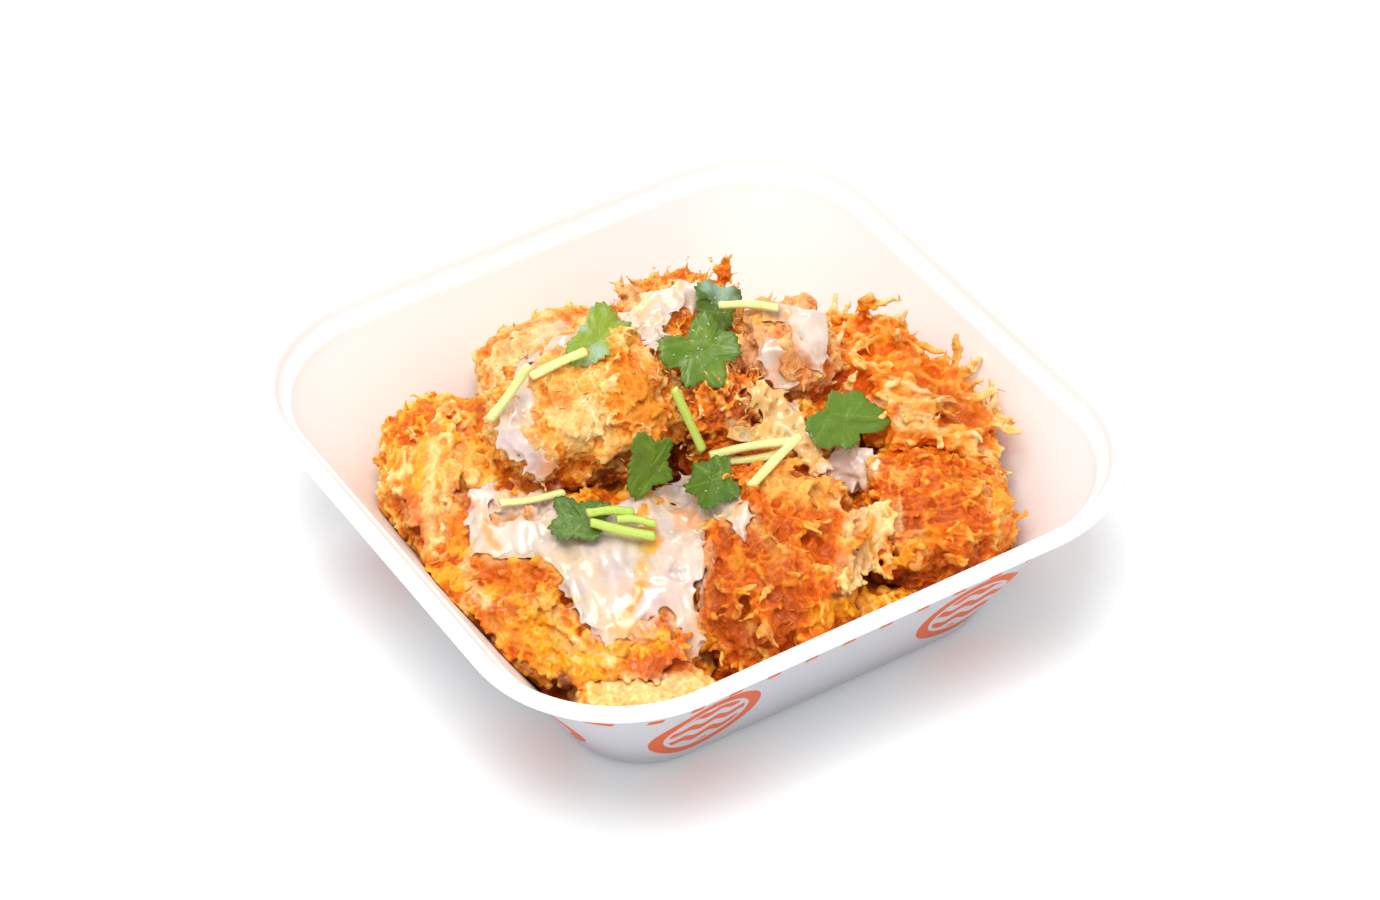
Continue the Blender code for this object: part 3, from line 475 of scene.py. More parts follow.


# Tints laid on the food in turn: colour, reach in mm, strength, places in the picture that it runs through
# The brown run through 602,476 615,462 628,452 is painted shadow in the gap under the upper-left cutlet
TINTS = """
pink 3.2 0.8 556,325 545,345 533,365
lilac 2.2 0.7 548,340 534,372
orange 2.4 0.6 484,352 500,338 540,322 575,314
orange 3.4 0.7 478,402 500,415 486,425
rust 1.8 0.7 482,407 478,416
deep_orange 2.6 0.8 632,366 640,372
orange 5.5 0.7 640,385 650,405 664,425
pale_gold 6.0 0.6 560,385 575,420 590,445
orange 2.0 0.7 549,397 566,401
orange 2.0 0.6 556,450 562,458
cream 2.4 0.8 585,400 596,412 606,428
cream 1.6 0.8 574,420 585,430 600,436
rosy 1.0 0.9 569,410
gold 3.0 0.6 550,470 575,478 590,470
rust 3.6 0.8 515,482 545,488 580,492 615,482 632,470
brown 2.6 0.85 602,476 615,462 628,452
yellow 1.6 0.95 446,424 453,434 455,446
yellow 5.0 0.5 425,450 440,470 420,480
cream 1.8 0.8 434,452 430,480 428,505 432,530 430,545
pale_gold 4.0 0.7 465,448 470,470 455,480
rust 2.2 0.7 444,498 462,492 470,505
orange 3.0 0.7 446,515 462,520 455,535
orange 3.2 0.6 400,500 412,520 425,535
rust 3.0 0.6 484,566 510,570 540,572
orange 3.0 0.7 470,575 500,582 525,590
yellow 4.5 0.85 500,598 530,605 545,630 560,655 590,668
yolk 2.0 0.8 500,603 515,610
yolk 2.4 0.7 545,640 560,650
gold 2.6 0.7 490,625 520,640 540,662
deep_orange 2.2 0.6 535,598 512,592
yellow 2.6 0.8 615,655 640,645 660,640
orange 3.4 0.8 630,665 660,672 685,660
deep_orange 2.4 0.7 670,650 690,672
brown 2.4 0.9 562,680 572,694 560,690
brown 2.0 0.9 704,655 712,662
curd 3.5 0.9 605,695 640,690 680,688 705,684
gold 2.5 0.6 722,262 728,278
rosy 4.5 0.75 748,322 765,335 752,350
pale_gold 2.0 0.7 752,318 770,328
orange 2.6 0.7 788,360 806,366 800,352
deep_orange 2.4 0.8 836,345 850,365 832,380
deep_orange 2.2 0.7 905,360 925,378 945,392
cream 1.8 0.6 868,404 895,400 925,408
cream 1.8 0.8 900,424 930,428 965,440
peach 2.2 0.8 905,412 925,418
orange 4.0 0.5 950,380 975,410 985,430
cream 2.6 0.6 968,446 985,452
deep_orange 2.6 0.6 905,440 925,446
yolk 2.6 0.95 904,560 915,548 930,538
yolk 1.8 0.95 1002,482 1006,500 1005,514
pale_gold 2.8 0.85 996,520 992,538
rust 2.6 0.6 940,565 970,572 955,580
rust 2.4 0.5 925,500 950,520
gold 3.0 0.5 960,480 985,500
cream 4.0 0.85 870,505 872,530 868,560 860,580
rosy 2.2 0.7 858,512 852,525
yolk 1.3 0.95 862,532 870,545 873,556
yellow 3.6 0.8 815,618 840,608 870,600
orange 2.6 0.6 850,622 830,632 812,640
brown 1.2 0.95 834,596 848,594
brown 1.4 0.9 902,576 914,573
deep_orange 4.0 0.7 820,512 825,530 812,545
rust 4.5 0.7 712,598 725,622 735,640
rust 3.6 0.6 770,590 790,610 780,640
pale_gold 3.6 0.5 765,488 800,480 828,490
pale_gold 2.0 0.6 760,530 775,550
gold 2.0 0.7 738,552 735,566
peach 4.5 0.5 765,395 772,412 790,432 812,452
pale_gold 2.2 0.6 757,428 765,440 780,445
rosy 3.4 0.85 682,512 690,524
yolk 1.8 0.9 643,512 650,526 656,536
yellow 2.2 0.6 648,546 642,562 640,580
yolk 1.1 0.85 640,590 634,602 625,615
yellow 1.6 0.6 626,578 622,590
peach 3.4 0.35 508,522 530,516 555,522 580,527
yolk 1.4 0.6 570,534 580,537
peach 2.8 0.35 560,556 580,562 592,575
yellow 1.8 0.5 480,500 478,520 485,535
peach 2.2 0.35 605,585 596,600 600,615
lilac 3.6 0.6 620,560 612,575 650,600 640,630
lilac 3.0 0.5 600,632 612,618
pink 3.4 0.6 690,560 692,590 680,615
lilac 3.2 0.8 512,440 525,455 532,468
cream 5.0 0.6 500,365 515,345 545,328
cream 3.5 0.7 610,282 625,290 640,300
gold 5.5 0.75 625,378 640,395 655,410
deep_orange 2.2 0.6 652,372 664,388 672,408
cream 3.0 0.55 552,412 566,430 580,440
deep_orange 4.0 0.7 402,498 412,512 425,535
rust 4.0 0.5 545,470 565,470 590,468
rust 5.0 0.55 925,392 940,402 955,414
rust 4.5 0.85 935,558 955,563 975,554
rust 4.0 0.5 760,640 745,650 775,628
rust 4.5 0.5 725,600 720,580 735,620
deep_orange 3.5 0.7 660,668 676,660 650,672
deep_orange 2.4 0.7 497,608 512,612 505,598
deep_orange 4.0 0.8 498,572 518,576 538,584
pale_gold 4.5 0.65 770,486 790,485 805,492 815,500
cream 3.4 0.6 615,692 645,692 680,686
white 4.5 1.0 492,504 520,506 545,508 570,512
white 3.2 0.85 690,552 692,570 690,590
white 4.2 0.85 486,522 500,530 514,538
rust 5.5 0.45 755,545 775,560 785,578
rust 4.5 0.55 745,636 760,642 778,632
rust 3.0 0.5 500,606 514,612
rust 3.0 0.45 655,668 672,662
cream 1.6 0.8 838,500 850,520 846,545 852,570
yolk 1.6 0.9 866,500 872,520 866,540
cream 2.0 0.7 462,560 470,585 486,600
pale_gold 2.6 0.7 540,600 556,622 566,640
cream 1.6 0.7 575,640 590,655 612,660
white 3.4 0.8 840,460 850,470 852,480
pale_gold 3.0 0.6 625,622 632,632 615,628
yolk 1.7 0.85 641,585 635,600 626,614
yolk 1.5 0.7 486,520 490,538 500,548
yellow 2.0 0.7 640,520 650,532 652,548
white 2.8 0.85 800,318 812,330 808,345
lilac 2.0 0.6 525,395 520,415
yellow 2.0 0.9 848,494 860,496
yellow 2.4 0.7 798,405 805,415
yellow 1.6 0.8 680,327 688,322
"""

# Egg threads that lie on the food: node, colour, radius in mm, places in the picture
THREADS = """
cutlet_left curd 0.9 437,448 431,470 428,492 427,514 431,538 436,556
cutlet_left yellow 0.8 440,420 449,424 454,434 453,446 446,452
cutlet_left curd 0.6 418,446 411,458 403,468
cutlet_left yellow 0.7 424,440 418,456 423,472 420,486
cutlet_left curd 0.6 448,462 441,478 447,494 441,508
cutlet_front_left yellow 0.7 520,612 531,622 541,640 553,652
cutlet_front_left yolk 0.7 545,628 551,645 563,659 581,668
cutlet_front_left yellow 0.6 500,606 512,618 523,634 536,646
cutlet_front_left curd 0.6 560,648 577,659 598,664 615,660
cutlet_front_left gold 0.6 597,667 611,655 622,646 634,640
cutlet_front_left curd 0.5 577,596 570,607 574,620 583,628
cutlet_front_right gold 0.5 742,540 737,553 744,566 739,580
cutlet_front_right pale_gold 0.5 762,536 775,541 786,551
cutlet_front_right gold 0.5 765,506 776,499 790,499 803,505
cutlet_front_right pale_gold 0.4 786,640 779,634 773,640 768,650
cutlet_right_front peach 0.4 897,458 901,480 899,505 902,530
cutlet_right_front peach 0.5 872,452 884,467 896,474 913,474
cutlet_right_front gold 0.6 915,475 930,471 945,480 960,484
cutlet_right_back pale_gold 0.8 872,402 886,396 904,401 922,407 938,404
cutlet_right_back cream 0.7 891,380 908,384 925,392 941,399
cutlet_right_back gold 0.8 893,362 910,366 928,376 945,384
cutlet_right_back pale_gold 0.7 905,428 922,428 940,433 957,440 966,448
cutlet_right_back cream 0.6 880,425 897,419 915,417 934,421
cutlet_upper_left cream 0.7 582,398 590,407 598,418 604,430 600,443
cutlet_upper_left cream 0.6 570,424 580,431 592,436 603,435
cutlet_upper_left peach 0.6 545,410 553,420 556,434 566,446
egg_strands_right curd 0.6 862,505 866,522 860,540 868,556
egg_strands_right cream 0.5 878,505 880,524 875,545 878,566
crumb_tuft pale_gold 0.6 706,400 714,395 722,402 728,413
"""


def table_rows(table):
    """Rows of a table: words stay text, numbers are read, and places make a list at the end."""
    rows = []
    for line in table.split("\n"):
        words = [word for word in line.split() if "," not in word]
        places = [tuple(int(part) for part in word.split(",")) for word in line.split() if "," in word]
        if words:
            rows.append([word if word[0].isalpha() else float(word) for word in words] + [places])
    return rows


def curve_through(knots, per_span):
    """Smooth run of points through knots."""
    knots = np.array(knots, float)
    rows = []
    for k in range(len(knots) - 1):
        p0, p1, p2, p3 = knots[max(k - 1, 0)], knots[k], knots[k + 1], knots[min(k + 2, len(knots) - 1)]
        for step in range(per_span):
            t = step / per_span
            rows.append(0.5 * (2 * p1 + (p2 - p0) * t + (2 * p0 - 5 * p1 + 4 * p2 - p3) * t**2
                               + (3 * p1 - p0 - 3 * p2 + p3) * t**3))
    rows.append(knots[-1])
    return rows


def evened(values, rounds=4):
    """Values along a run, evened out with the ones beside them."""
    for _ in range(rounds):
        padded = np.concatenate([values[:1], values, values[-1:]])
        values = (padded[:-2] + padded[1:-1] * 2 + padded[2:]) / 4
    return values


def run_on_food(places):
    """The points of the food at places in the picture, without those that miss it."""
    found = [on_food(*place) for place in places]
    return [point for point in found if point is not None]


THREAD_ROWS = table_rows(THREADS)


def laid_tints(spacing=1.0, thread_reach=1.5, thread_strength=0.75):
    """The tints and the threads' colours as runs of points on the food."""
    made = []
    rows = table_rows(TINTS)
    for _, shade, radius, places in THREAD_ROWS:
        rows.append((shade, radius * thread_reach, thread_strength, places))
    for shade, reach, strength, places in rows:
        run = run_on_food(places)
        points = run[:1]
        for a, b in zip(run, run[1:]):
            steps = max(1, int(np.linalg.norm(b - a) / spacing))
            points += [a + (b - a) * k / steps for k in range(1, steps + 1)]
        if points:
            made.append((linear(shade), reach, strength, np.array(points)))
    return made


LAID = laid_tints()


def tinted(points, tone, lightness, furthest=1.6, full=0.35, end=1.25):
    """Lays the tints on a piece, in full near their run and fading out at their end, with a ragged edge."""
    wobble = layered(points, 2.4, 2, seed=71)
    ragged = lumps(points, 0.9, seed=77)
    for shade, reach, strength, run in LAID:
        far = reach * furthest
        near = np.all((points > run.min(axis=0) - far) & (points < run.max(axis=0) + far), axis=1)
        if not near.any():
            continue
        spots = points[near]
        gap = np.min(np.linalg.norm(spots[:, None, :] - run[None, :, :], axis=2), axis=1)
        gap = gap * (1 + 0.35 * wobble[near] + 0.2 * ragged[near])
        share = (1 - smooth_step(gap, reach * full, reach * end)) * strength
        tone[near] = mixed(tone[near], shade * lightness[near][:, None], share)
    return tone


# Crumb crust on the cutlets


def scatter(points, tris, weight, per_square_mm, rng):
    """Random places on a mesh, with their triangles; weight says how likely each triangle is."""
    area = np.linalg.norm(face_normals(points, tris), axis=1) / 2
    chance = area * weight
    count = int(chance.sum() * per_square_mm)
    chosen = rng.choice(len(tris), size=count, p=chance / chance.sum())
    a, b = rng.random(count), rng.random(count)
    over = a + b > 1
    a[over], b[over] = 1 - a[over], 1 - b[over]
    corner = points[tris[chosen]]
    one_side, other_side = corner[:, 1] - corner[:, 0], corner[:, 2] - corner[:, 0]
    place = corner[:, 0] + one_side * a[:, None] + other_side * b[:, None]
    return place, chosen, (1 - a - b, a, b)


def drawn(rng, count, *ranges):
    """One column of random values for each range."""
    return [rng.uniform(*each, count)[:, None] for each in ranges]


def random_ways(normal, rng, grain):
    """Random directions along a surface, drawn towards the grain."""
    spin = unit(rng.normal(size=(len(normal), 3)))
    return beside(unit(np.cross(normal, spin)) + grain, normal)


def bent_middle(t, place, along, normal, across, reach, rise, bow, sway):
    """Places at the share t along strips that rise, bow and sway."""
    forward = along * t * np.cos(rise) + normal * (np.sin(rise) * t - bow * t * t)
    return place + reach * (forward + across * sway * t * t)


def turned(across, normal, turn):
    """The two directions across a strip after it has rolled."""
    return across * np.cos(turn) + normal * np.sin(turn), normal * np.cos(turn) - across * np.sin(turn)


# Rows of points along a shred
STATIONS = 6
# Ranges of how far shreds and loose flakes sway and roll, and how far the flakes bow
SHRED_SWAY, SHRED_ROLL = (-0.4, 0.4), (-1.1, 1.1)
CRISP_BOW, CRISP_SWAY, CRISP_ROLL = (-0.35, 0.45), (-0.5, 0.5), (-1.2, 1.2)


def shreds(place, normal, along, rng, length, width, thick, lift, curl):
    """Curved flat strips that grow out of a surface, as (points, triangles)."""
    count = len(place)
    across = unit(np.cross(normal, along))
    reach, breadth, depth, rise, bow, sway, roll = drawn(
        rng, count, length, width, thick, lift, curl, SHRED_SWAY, SHRED_ROLL)
    ripple = rng.uniform(0, 2 * math.pi, (2, count))
    rings = []
    for step in range(STATIONS):
        t = step / (STATIONS - 1)
        middle = bent_middle(t, place, along, normal, across, reach, rise, bow, sway)
        wave = np.sin(ripple[0] + t * 9.0)[:, None] * depth * 0.35
        middle = middle + normal * (wave - 0.45 * depth * (1 - t))
        wide, deep = turned(across, normal, roll * t + 0.35 * np.sin(ripple[1] + t * 7.0)[:, None])
        shape = 0.45 + 0.55 * math.sin(math.pi * min(1, 0.2 + 0.8 * t)) + 0.10 * math.sin(t * 11)
        half_w, half_d = wide * breadth * shape / 2, deep * depth * (1 - 0.35 * t) / 2
        rings.append(np.stack([middle + half_w + half_d, middle - half_w + half_d,
                               middle - half_w - half_d, middle + half_w - half_d], axis=1))
    points = np.stack(rings, axis=1).reshape(-1, 3)
    last = (STATIONS - 1) * 4
    ends = [(0, 2, 1), (0, 3, 2), (last, last + 1, last + 2), (last, last + 2, last + 3)]
    one = np.array(tube_faces(STATIONS, 4, closed=False) + ends)[:, ::-1]
    return points, repeated(one, count, STATIONS * 4)


def ball_shape():
    """Points and triangles of a ball with twenty faces."""
    golden = (1 + math.sqrt(5)) / 2
    points = []
    for a in (-1, 1):
        for b in (-golden, golden):
            points += [(a, b, 0), (0, a, b), (b, 0, a)]
    points = unit(np.array(points, float))
    tris = []
    for i in range(12):
        for j in range(i + 1, 12):
            for k in range(j + 1, 12):
                sides = [np.linalg.norm(points[p] - points[q]) for p, q in ((i, j), (j, k), (i, k))]
                if max(sides) < 1.2:
                    normal = np.cross(points[j] - points[i], points[k] - points[i])
                    tris.append((i, j, k) if normal @ points[i] > 0 else (i, k, j))
    return points, np.array(tris)


BALL = ball_shape()


def nuggets(place, normal, rng, size):
    """Small lumps of random form at places on a surface."""
    count = len(place)
    stretch = rng.uniform(0.65, 1.35, (count, 1, 3)) * rng.uniform(*size, count)[:, None, None]
    wobble = rng.uniform(0.8, 1.2, (count, len(BALL[0]), 1))
    sink = normal * rng.uniform(-0.15, 0.3, count)[:, None]
    points = ((place + sink)[:, None, :] + BALL[0][None] * stretch * wobble / 2).reshape(-1, 3)
    return points, repeated(BALL[1], count, len(BALL[0]))


# Layers of shreds: how many to a square mm, then ranges of length, width, thickness, lift and curl
RIBBONS = (0.034, (5.0, 10.0), (1.6, 3.4), (0.9, 1.5), (0.0, 0.30), (0.05, 0.25))
SHORT_RIBBONS = (0.040, (3.5, 7.0), (1.4, 2.8), (0.9, 1.4), (0.0, 0.35), (0.0, 0.25))
FLAKES = (0.095, (2.0, 4.6), (0.9, 2.0), (0.55, 0.9), (0.0, 0.50), (0.0, 0.35))
BITS = (0.05, (1.2, 2.6), (0.5, 1.1), (0.45, 0.65), (0.2, 0.9), (-0.2, 0.4))
UPRIGHT = (0.10, (2.4, 5.5), (0.7, 1.5), (0.5, 0.8), (0.6, 1.3), (-0.1, 0.3))
SOFT = (0.04, (2.4, 5.0), (1.2, 2.4), (0.8, 1.4), (0.0, 0.3), (0.0, 0.15))
LONG_RIBBONS = (0.030, (6.0, 11.0), (1.6, 3.0), (1.3, 2.0), (0.0, 0.12), (0.06, 0.16))
CURLED = (0.05, (2.0, 4.0), (1.2, 2.2), (0.7, 1.1), (0.0, 0.25), (0.0, 0.3))
SMALL = (0.05, (2.0, 4.4), (0.9, 1.9), (0.5, 0.9), (0.1, 0.5), (0, 0.3))
LOW = (0.05, (2.0, 4.0), (1.2, 2.4), (0.7, 1.1), (0.0, 0.3), (0.0, 0.3))
TUFTED = (0.16, (3.5, 7.0), (0.9, 1.7), (0.6, 0.9), (0.6, 1.3), (-0.1, 0.3))

# What each crust is like: its layers, lumps to a square mm and their size, a ramp from hollow to tip,
# the depth of its bulges, ridges and pores in mm, and its loose flakes
ORANGE_RAMP = "0.0 rust 0.33 deep_orange 0.66 orange 0.92 gold 1.2 pale_gold"
GOLD_RAMP = "0.0 deep_orange 0.3 orange 0.6 gold 0.9 pale_gold 1.2 cream"
PALE_RAMP = "0.0 orange 0.28 gold 0.6 pale_gold 1.0 cream"
YELLOW_RAMP = "0.0 deep_orange 0.3 gold 0.65 yellow 1.1 pale_gold"
CURD_RAMP = "0.0 orange 0.3 yellow 0.65 curd 1.0 cream"
SHAGGY = dict(
    layers=[RIBBONS, FLAKES, BITS], lumps=0.14, lump_size=(0.9, 2.0), cell=0.50, soften=1, rough=1.5,
    fine=0.34, grain=(0, 0, 0), stops=ORANGE_RAMP, kind="crust", slot="crumb", bulge=1.3, wrinkle=3.4,
    pits=0.0, crisp=(0.022, (1.4, 3.4), (0.45, 1.0), (0.14, 0.32), (0.0, 0.4)))
RIDGED = dict(
    SHAGGY, layers=[LONG_RIBBONS, CURLED], lumps=0.10, grain=(1.1, -0.7, 0.1), wrinkle=4.6, rough=2.8,
    fine=0.4, bulge=1.6, stops="0.0 deep_orange 0.3 orange 0.6 gold 0.95 pale_gold 1.3 cream",
    crisp=(0.02, (1.2, 2.8), (0.4, 0.9), (0.14, 0.3), (0.0, 0.3)))
FINE = dict(
    SHAGGY, layers=[SMALL, BITS], lumps=0.22, lump_size=(0.8, 1.5), rough=1.2, stops=PALE_RAMP, bulge=3.0,
    wrinkle=3.0, pits=1.1, crisp=(0.05, (0.9, 2.4), (0.4, 0.9), (0.12, 0.3), (0.1, 0.9)))
FLUFFY = dict(
    SHAGGY, layers=[SHORT_RIBBONS, SOFT, LOW], lumps=0.08, lump_size=(1.6, 3.6), soften=3, rough=1.2,
    pits=0.5, stops=YELLOW_RAMP, bulge=1.8, wrinkle=4.2,
    crisp=(0.014, (1.4, 3.0), (0.5, 1.1), (0.18, 0.38), (0.0, 0.3)))
BATTER = dict(
    SHAGGY, layers=[SOFT], lumps=0.05, lump_size=(1.0, 2.6), soften=3, cell=0.55, rough=0.85, stops=PALE_RAMP,
    wrinkle=3.2, bulge=1.2, crisp=(0.02, (1.2, 2.6), (0.4, 0.9), (0.15, 0.3), (0.0, 0.4)))
CURDS = dict(
    SHAGGY, layers=[SOFT], lumps=0.10, lump_size=(1.8, 3.8), soften=3, cell=0.55, rough=0.85, stops=CURD_RAMP,
    kind="yolk", slot="egg_cream", bulge=0.6, wrinkle=3.6, pits=0.5, crisp=None)

CRUSTS = {
    "cutlet_front_left": dict(
        FLUFFY, seed=3, stops="0.0 rust 0.28 orange 0.55 gold 0.85 yellow 1.15 pale_gold"),
    "cutlet_left": dict(
        FLUFFY, seed=7, stops="0.0 deep_orange 0.22 orange 0.45 gold 0.7 yellow 0.95 curd 1.2 cream"),
    "cutlet_front_right": dict(SHAGGY, seed=11, grain=(0.0, -0.3, -0.8)),
    "cutlet_right_front": dict(
        SHAGGY, seed=15, layers=[SHORT_RIBBONS, FLAKES, BITS], grain=(0.5, -0.3, 0),
        stops="0.0 rust 0.3 deep_orange 0.55 orange 0.8 gold 1.2 pale_gold"),
    "cutlet_right_back": dict(RIDGED, seed=19),
    "cutlet_back_left": dict(BATTER, seed=23, stops="0.0 orange 0.2 gold 0.5 pale_gold 0.85 cream"),
    "cutlet_back": dict(FINE, seed=27, layers=[UPRIGHT, FLAKES, BITS], stops=GOLD_RAMP),
    "cutlet_middle": dict(SHAGGY, seed=31),
    "cutlet_upper_left": dict(FINE, seed=35),
    "cutlet_upper_right": dict(FINE, seed=39, stops="0.0 orange 0.35 rosy 0.8 pale_gold 1.15 cream"),
    "crumb_tuft": dict(
        SHAGGY, seed=43, layers=[TUFTED, BITS], stops="0.0 brown 0.3 rust 0.6 orange 0.9 gold 1.2 cream"),
    "egg_curds_corner": dict(CURDS, seed=47),
    "egg_curds_right": dict(CURDS, seed=51, stops="0.0 rust 0.3 deep_orange 0.6 yellow 1.0 curd"),
}


def nearest(tree, points):
    """Distance from each point to a tree's nearest place, positive outside, and the triangle there."""
    gap = np.empty(len(points))
    index = np.empty(len(points), int)
    for k, (x, y, z) in enumerate(points.tolist()):
        spot, normal, face, distance = tree.find_nearest((x, y, z))
        side = (x - spot[0]) * normal[0] + (y - spot[1]) * normal[1] + (z - spot[2]) * normal[2]
        gap[k] = distance if side >= 0 else -distance
        index[k] = face
    return gap, index


def skin_gap(points, limit=4.0):
    """Distance to the nearest egg skin, up to a limit."""
    gap = np.full(len(points), limit)
    for k, point in enumerate(points.tolist()):
        distance = SKIN_TREE.find_nearest(point, limit)[3]
        if distance is not None:
            gap[k] = distance
    return gap


# The bowl's inner wall in mm: height where the floor's curve ends, half side and corner there,
# and how much both grow over the height of INNER_SPAN
INNER_FOOT_Z, INNER_SPAN = 4.1, 38.0
INNER_LOW = (55.1, 20.5)
INNER_SPREAD = (21.8, 9.4)
# Height of the curve between wall and floor, how far in it ends, and the lowest that the food goes, all in mm
FLOOR_CURVE, FLOOR_INSET, LOWEST_FOOD = 2.4, 3.0, 2.0


def inside_bowl(points, gap=0.25):
    """Moves points that would go through the bowl's wall back inside it."""
    share = np.clip((points[:, 2] - INNER_FOOT_Z) / INNER_SPAN, 0, 1)
    foot = np.clip((INNER_FOOT_Z - points[:, 2]) / FLOOR_CURVE, 0, 1) ** 2 * FLOOR_INSET
    half, corner = (low + spread * share - foot for low, spread in zip(INNER_LOW, INNER_SPREAD))
    flat = points[:, :2]
    past = np.abs(flat) - (half - corner)[:, None]
    reach = np.linalg.norm(np.maximum(past, 0), axis=1)
    depth = reach + np.minimum(past.max(axis=1), 0) - corner + gap
    both = (past > 0).all(axis=1)
    along_one = np.stack([past[:, 0] >= past[:, 1], past[:, 0] < past[:, 1]], axis=1)
    way = np.where(both[:, None], past / np.maximum(reach, 1e-6)[:, None], along_one)
    moved = points.copy()
    moved[:, :2] -= np.sign(flat) * way * np.maximum(depth, 0)[:, None]
    moved[:, 2] = np.maximum(moved[:, 2], LOWEST_FOOD)
    return moved


# Breadth of a loose flake at each station along it
CRISP_SHAPE = (0.8, 1.0, 0.75, 0.25)


def crisps(place, normal, along, rng, length, width, thick, lift):
    """Thin three-sided flakes with pointed ends, as (points, triangles, share along each)."""
    count, stations = len(place), len(CRISP_SHAPE)
    across = unit(np.cross(normal, along))
    reach, breadth, depth, rise, bow, sway, roll = drawn(
        rng, count, length, width, thick, lift, CRISP_BOW, CRISP_SWAY, CRISP_ROLL)
    shares = np.linspace(0, 1, stations)
    rings = []
    for t, size in zip(shares, CRISP_SHAPE):
        middle = bent_middle(t, place, along, normal, across, reach, rise, bow, sway) - normal * 0.3 * (1 - t)
        wide, deep = turned(across, normal, roll * (t + 0.3))
        half = wide * breadth * size / 2
        rings.append(np.stack([middle + half, middle - half, middle + deep * depth * size], axis=1))
    points = np.stack(rings, axis=1).reshape(-1, 3)
    last = (stations - 1) * 3
    one = tube_faces(stations, 3, closed=False) + [(0, 2, 1), (last, last + 1, last + 2)]
    return points, repeated(one, count, stations * 3), np.tile(np.repeat(shares, 3), count)


def build_crisps(name, look, skin, skin_tris, tone, outward, open_share):
    """Loose crumb flakes that stand on a crust, in its own colours."""
    rng = np.random.default_rng(look["seed"] + 1000)
    bare = smooth_step(skin_gap(skin, 3.0), 0.6, 2.0)
    above = outward[skin_tris][:, :, 2].mean(axis=1) > -0.5
    weight = bare[skin_tris].mean(axis=1) * above * open_share[skin_tris].mean(axis=1)
    place, chosen, _ = scatter(skin, skin_tris, weight, look["crisp"][0], rng)
    normal = unit(outward[skin_tris[chosen]].mean(axis=1))
    along = random_ways(normal, rng, np.array(look["grain"], float) * 0.6)
    points, tris, t = crisps(place, normal, along, rng, *look["crisp"][1:])
    each = len(CRISP_SHAPE) * 3
    root = np.repeat(tone[skin_tris[chosen, 0]], each, axis=0)
    pale = np.repeat(rng.random(len(place)), each)
    shade = mixed(root, ramp(0.45 + 0.75 * pale, look["stops"]), 0.25 + 0.65 * t)
    add_piece(name + "_crumbs", inside_bowl(points), tris, shade, look["kind"], look["slot"], smooth=False)


def tube(path, outs, radius, seed, turns=8):
    """A soft flattened thread along a path, as (points, triangles)."""
    ways = unit(np.gradient(path, axis=0))
    outs = beside(outs, ways)
    sides = np.cross(ways, outs)
    share = np.linspace(0, 1, len(path))
    size = radius * (0.3 + 0.7 * np.sin(math.pi * share) ** 0.5) * (1 + 0.35 * lumps(path, 2.4, seed))
    path = path + sides * (lumps(path, 3.0, seed + 1) * radius * 0.8)[:, None]
    angle = np.arange(turns) / turns * 2 * math.pi
    rings = (path[:, None, :] + sides[:, None, :] * (np.cos(angle)[None, :, None] * size[:, None, None] * 1.2)
             + outs[:, None, :] * (np.sin(angle)[None, :, None] * size[:, None, None] * 0.9))
    points = np.concatenate([rings.reshape(-1, 3), path[:1], path[-1:]])
    tris = np.array(tube_faces(len(path), turns))
    solid = np.einsum("ij,ij->i", np.cross(points[tris[:, 0]], points[tris[:, 1]]), points[tris[:, 2]]).sum()
    return points, tris if solid > 0 else tris[:, ::-1]


def thread_tubes(name, ground_tree):
    """The egg threads that lie on one node's crust."""
    made = []
    for number, (node, _, radius, places) in enumerate(THREAD_ROWS):
        run = run_on_food(places) if node == name else []
        if len(run) > 1:
            path = np.array(curve_through(run, 7))
            found = [ground_tree.find_nearest(point)[:2] for point in path.tolist()]
            outs = unit(evened(np.array([normal for _, normal in found])))
            line = evened(np.array([spot for spot, _ in found])) + outs * radius * 0.35
            made.append(tube(line, outs, radius, number))
    return made


# Painted shade: how much of each light value is kept deep between the pieces, and in the pores of the egg
DEEP_SHADE = np.array([0.6, 0.40, 0.25])
PORE_SHADE = np.array([0.86, 0.62, 0.45])

# The mean height of a ridge, taken off so that ridges neither swell nor shrink a crust
RIDGE_MEAN = 0.35
# Distance in mm at which egg lies over a crust, and the shares of sky below which a place counts as hidden
EGG_OVER = 2.4
SKY_FOR_CRUMBS, SKY_FOR_DETAIL = 0.02, 0.03
# How far each thing moves a crust's tone along its ramp from hollow to tip, and its lightness. The hollow and
# pore terms are painted shade, and the ridge term of the lightness is painted light
LEVEL = dict(base=0.40, ridge=0.36, height=0.24, hollow=0.8, patch=0.36, grit=0.12, fine=0.12, pore=0.35)
LIGHT = dict(base=0.94, ridge=0.08, hollow=0.5, grit=0.05, least=0.7, most=1.08)


def crust_ground(points, tris, look):
    """The node's form with ridges and pores: points, triangles, sky share, ridge height, pore depth."""
    seed, grain = look["seed"], np.array(look["grain"], float)
    sky = sky_share(points[tris].mean(axis=1), unit(face_normals(points, tris)))
    ground, ground_tris = fused([(points, tris)], look["cell"] * 1.25, 2)
    ground_sky = neighbour_mean(sky[nearest(tree_of(points, tris), ground)[1]], ground_tris, 3)
    ridge = crinkle(ground, look["wrinkle"], seed, grain)
    lift = layered(ground, 8.0, 2, seed=seed + 3) * look["bulge"] + (ridge - RIDGE_MEAN) * look["rough"]
    pores = np.zeros(len(ground))
    if look["pits"]:
        pores = 1 - smooth_step(cell_distance(ground, 3.0, seed + 11), 0.08, 0.36)
    lift = (lift - pores * look["pits"]) * smooth_step(ground_sky, 0.0, 0.1)
    ground = inside_bowl(ground + point_normals(ground, ground_tris) * lift[:, None])
    return ground, ground_tris, ground_sky, ridge, pores


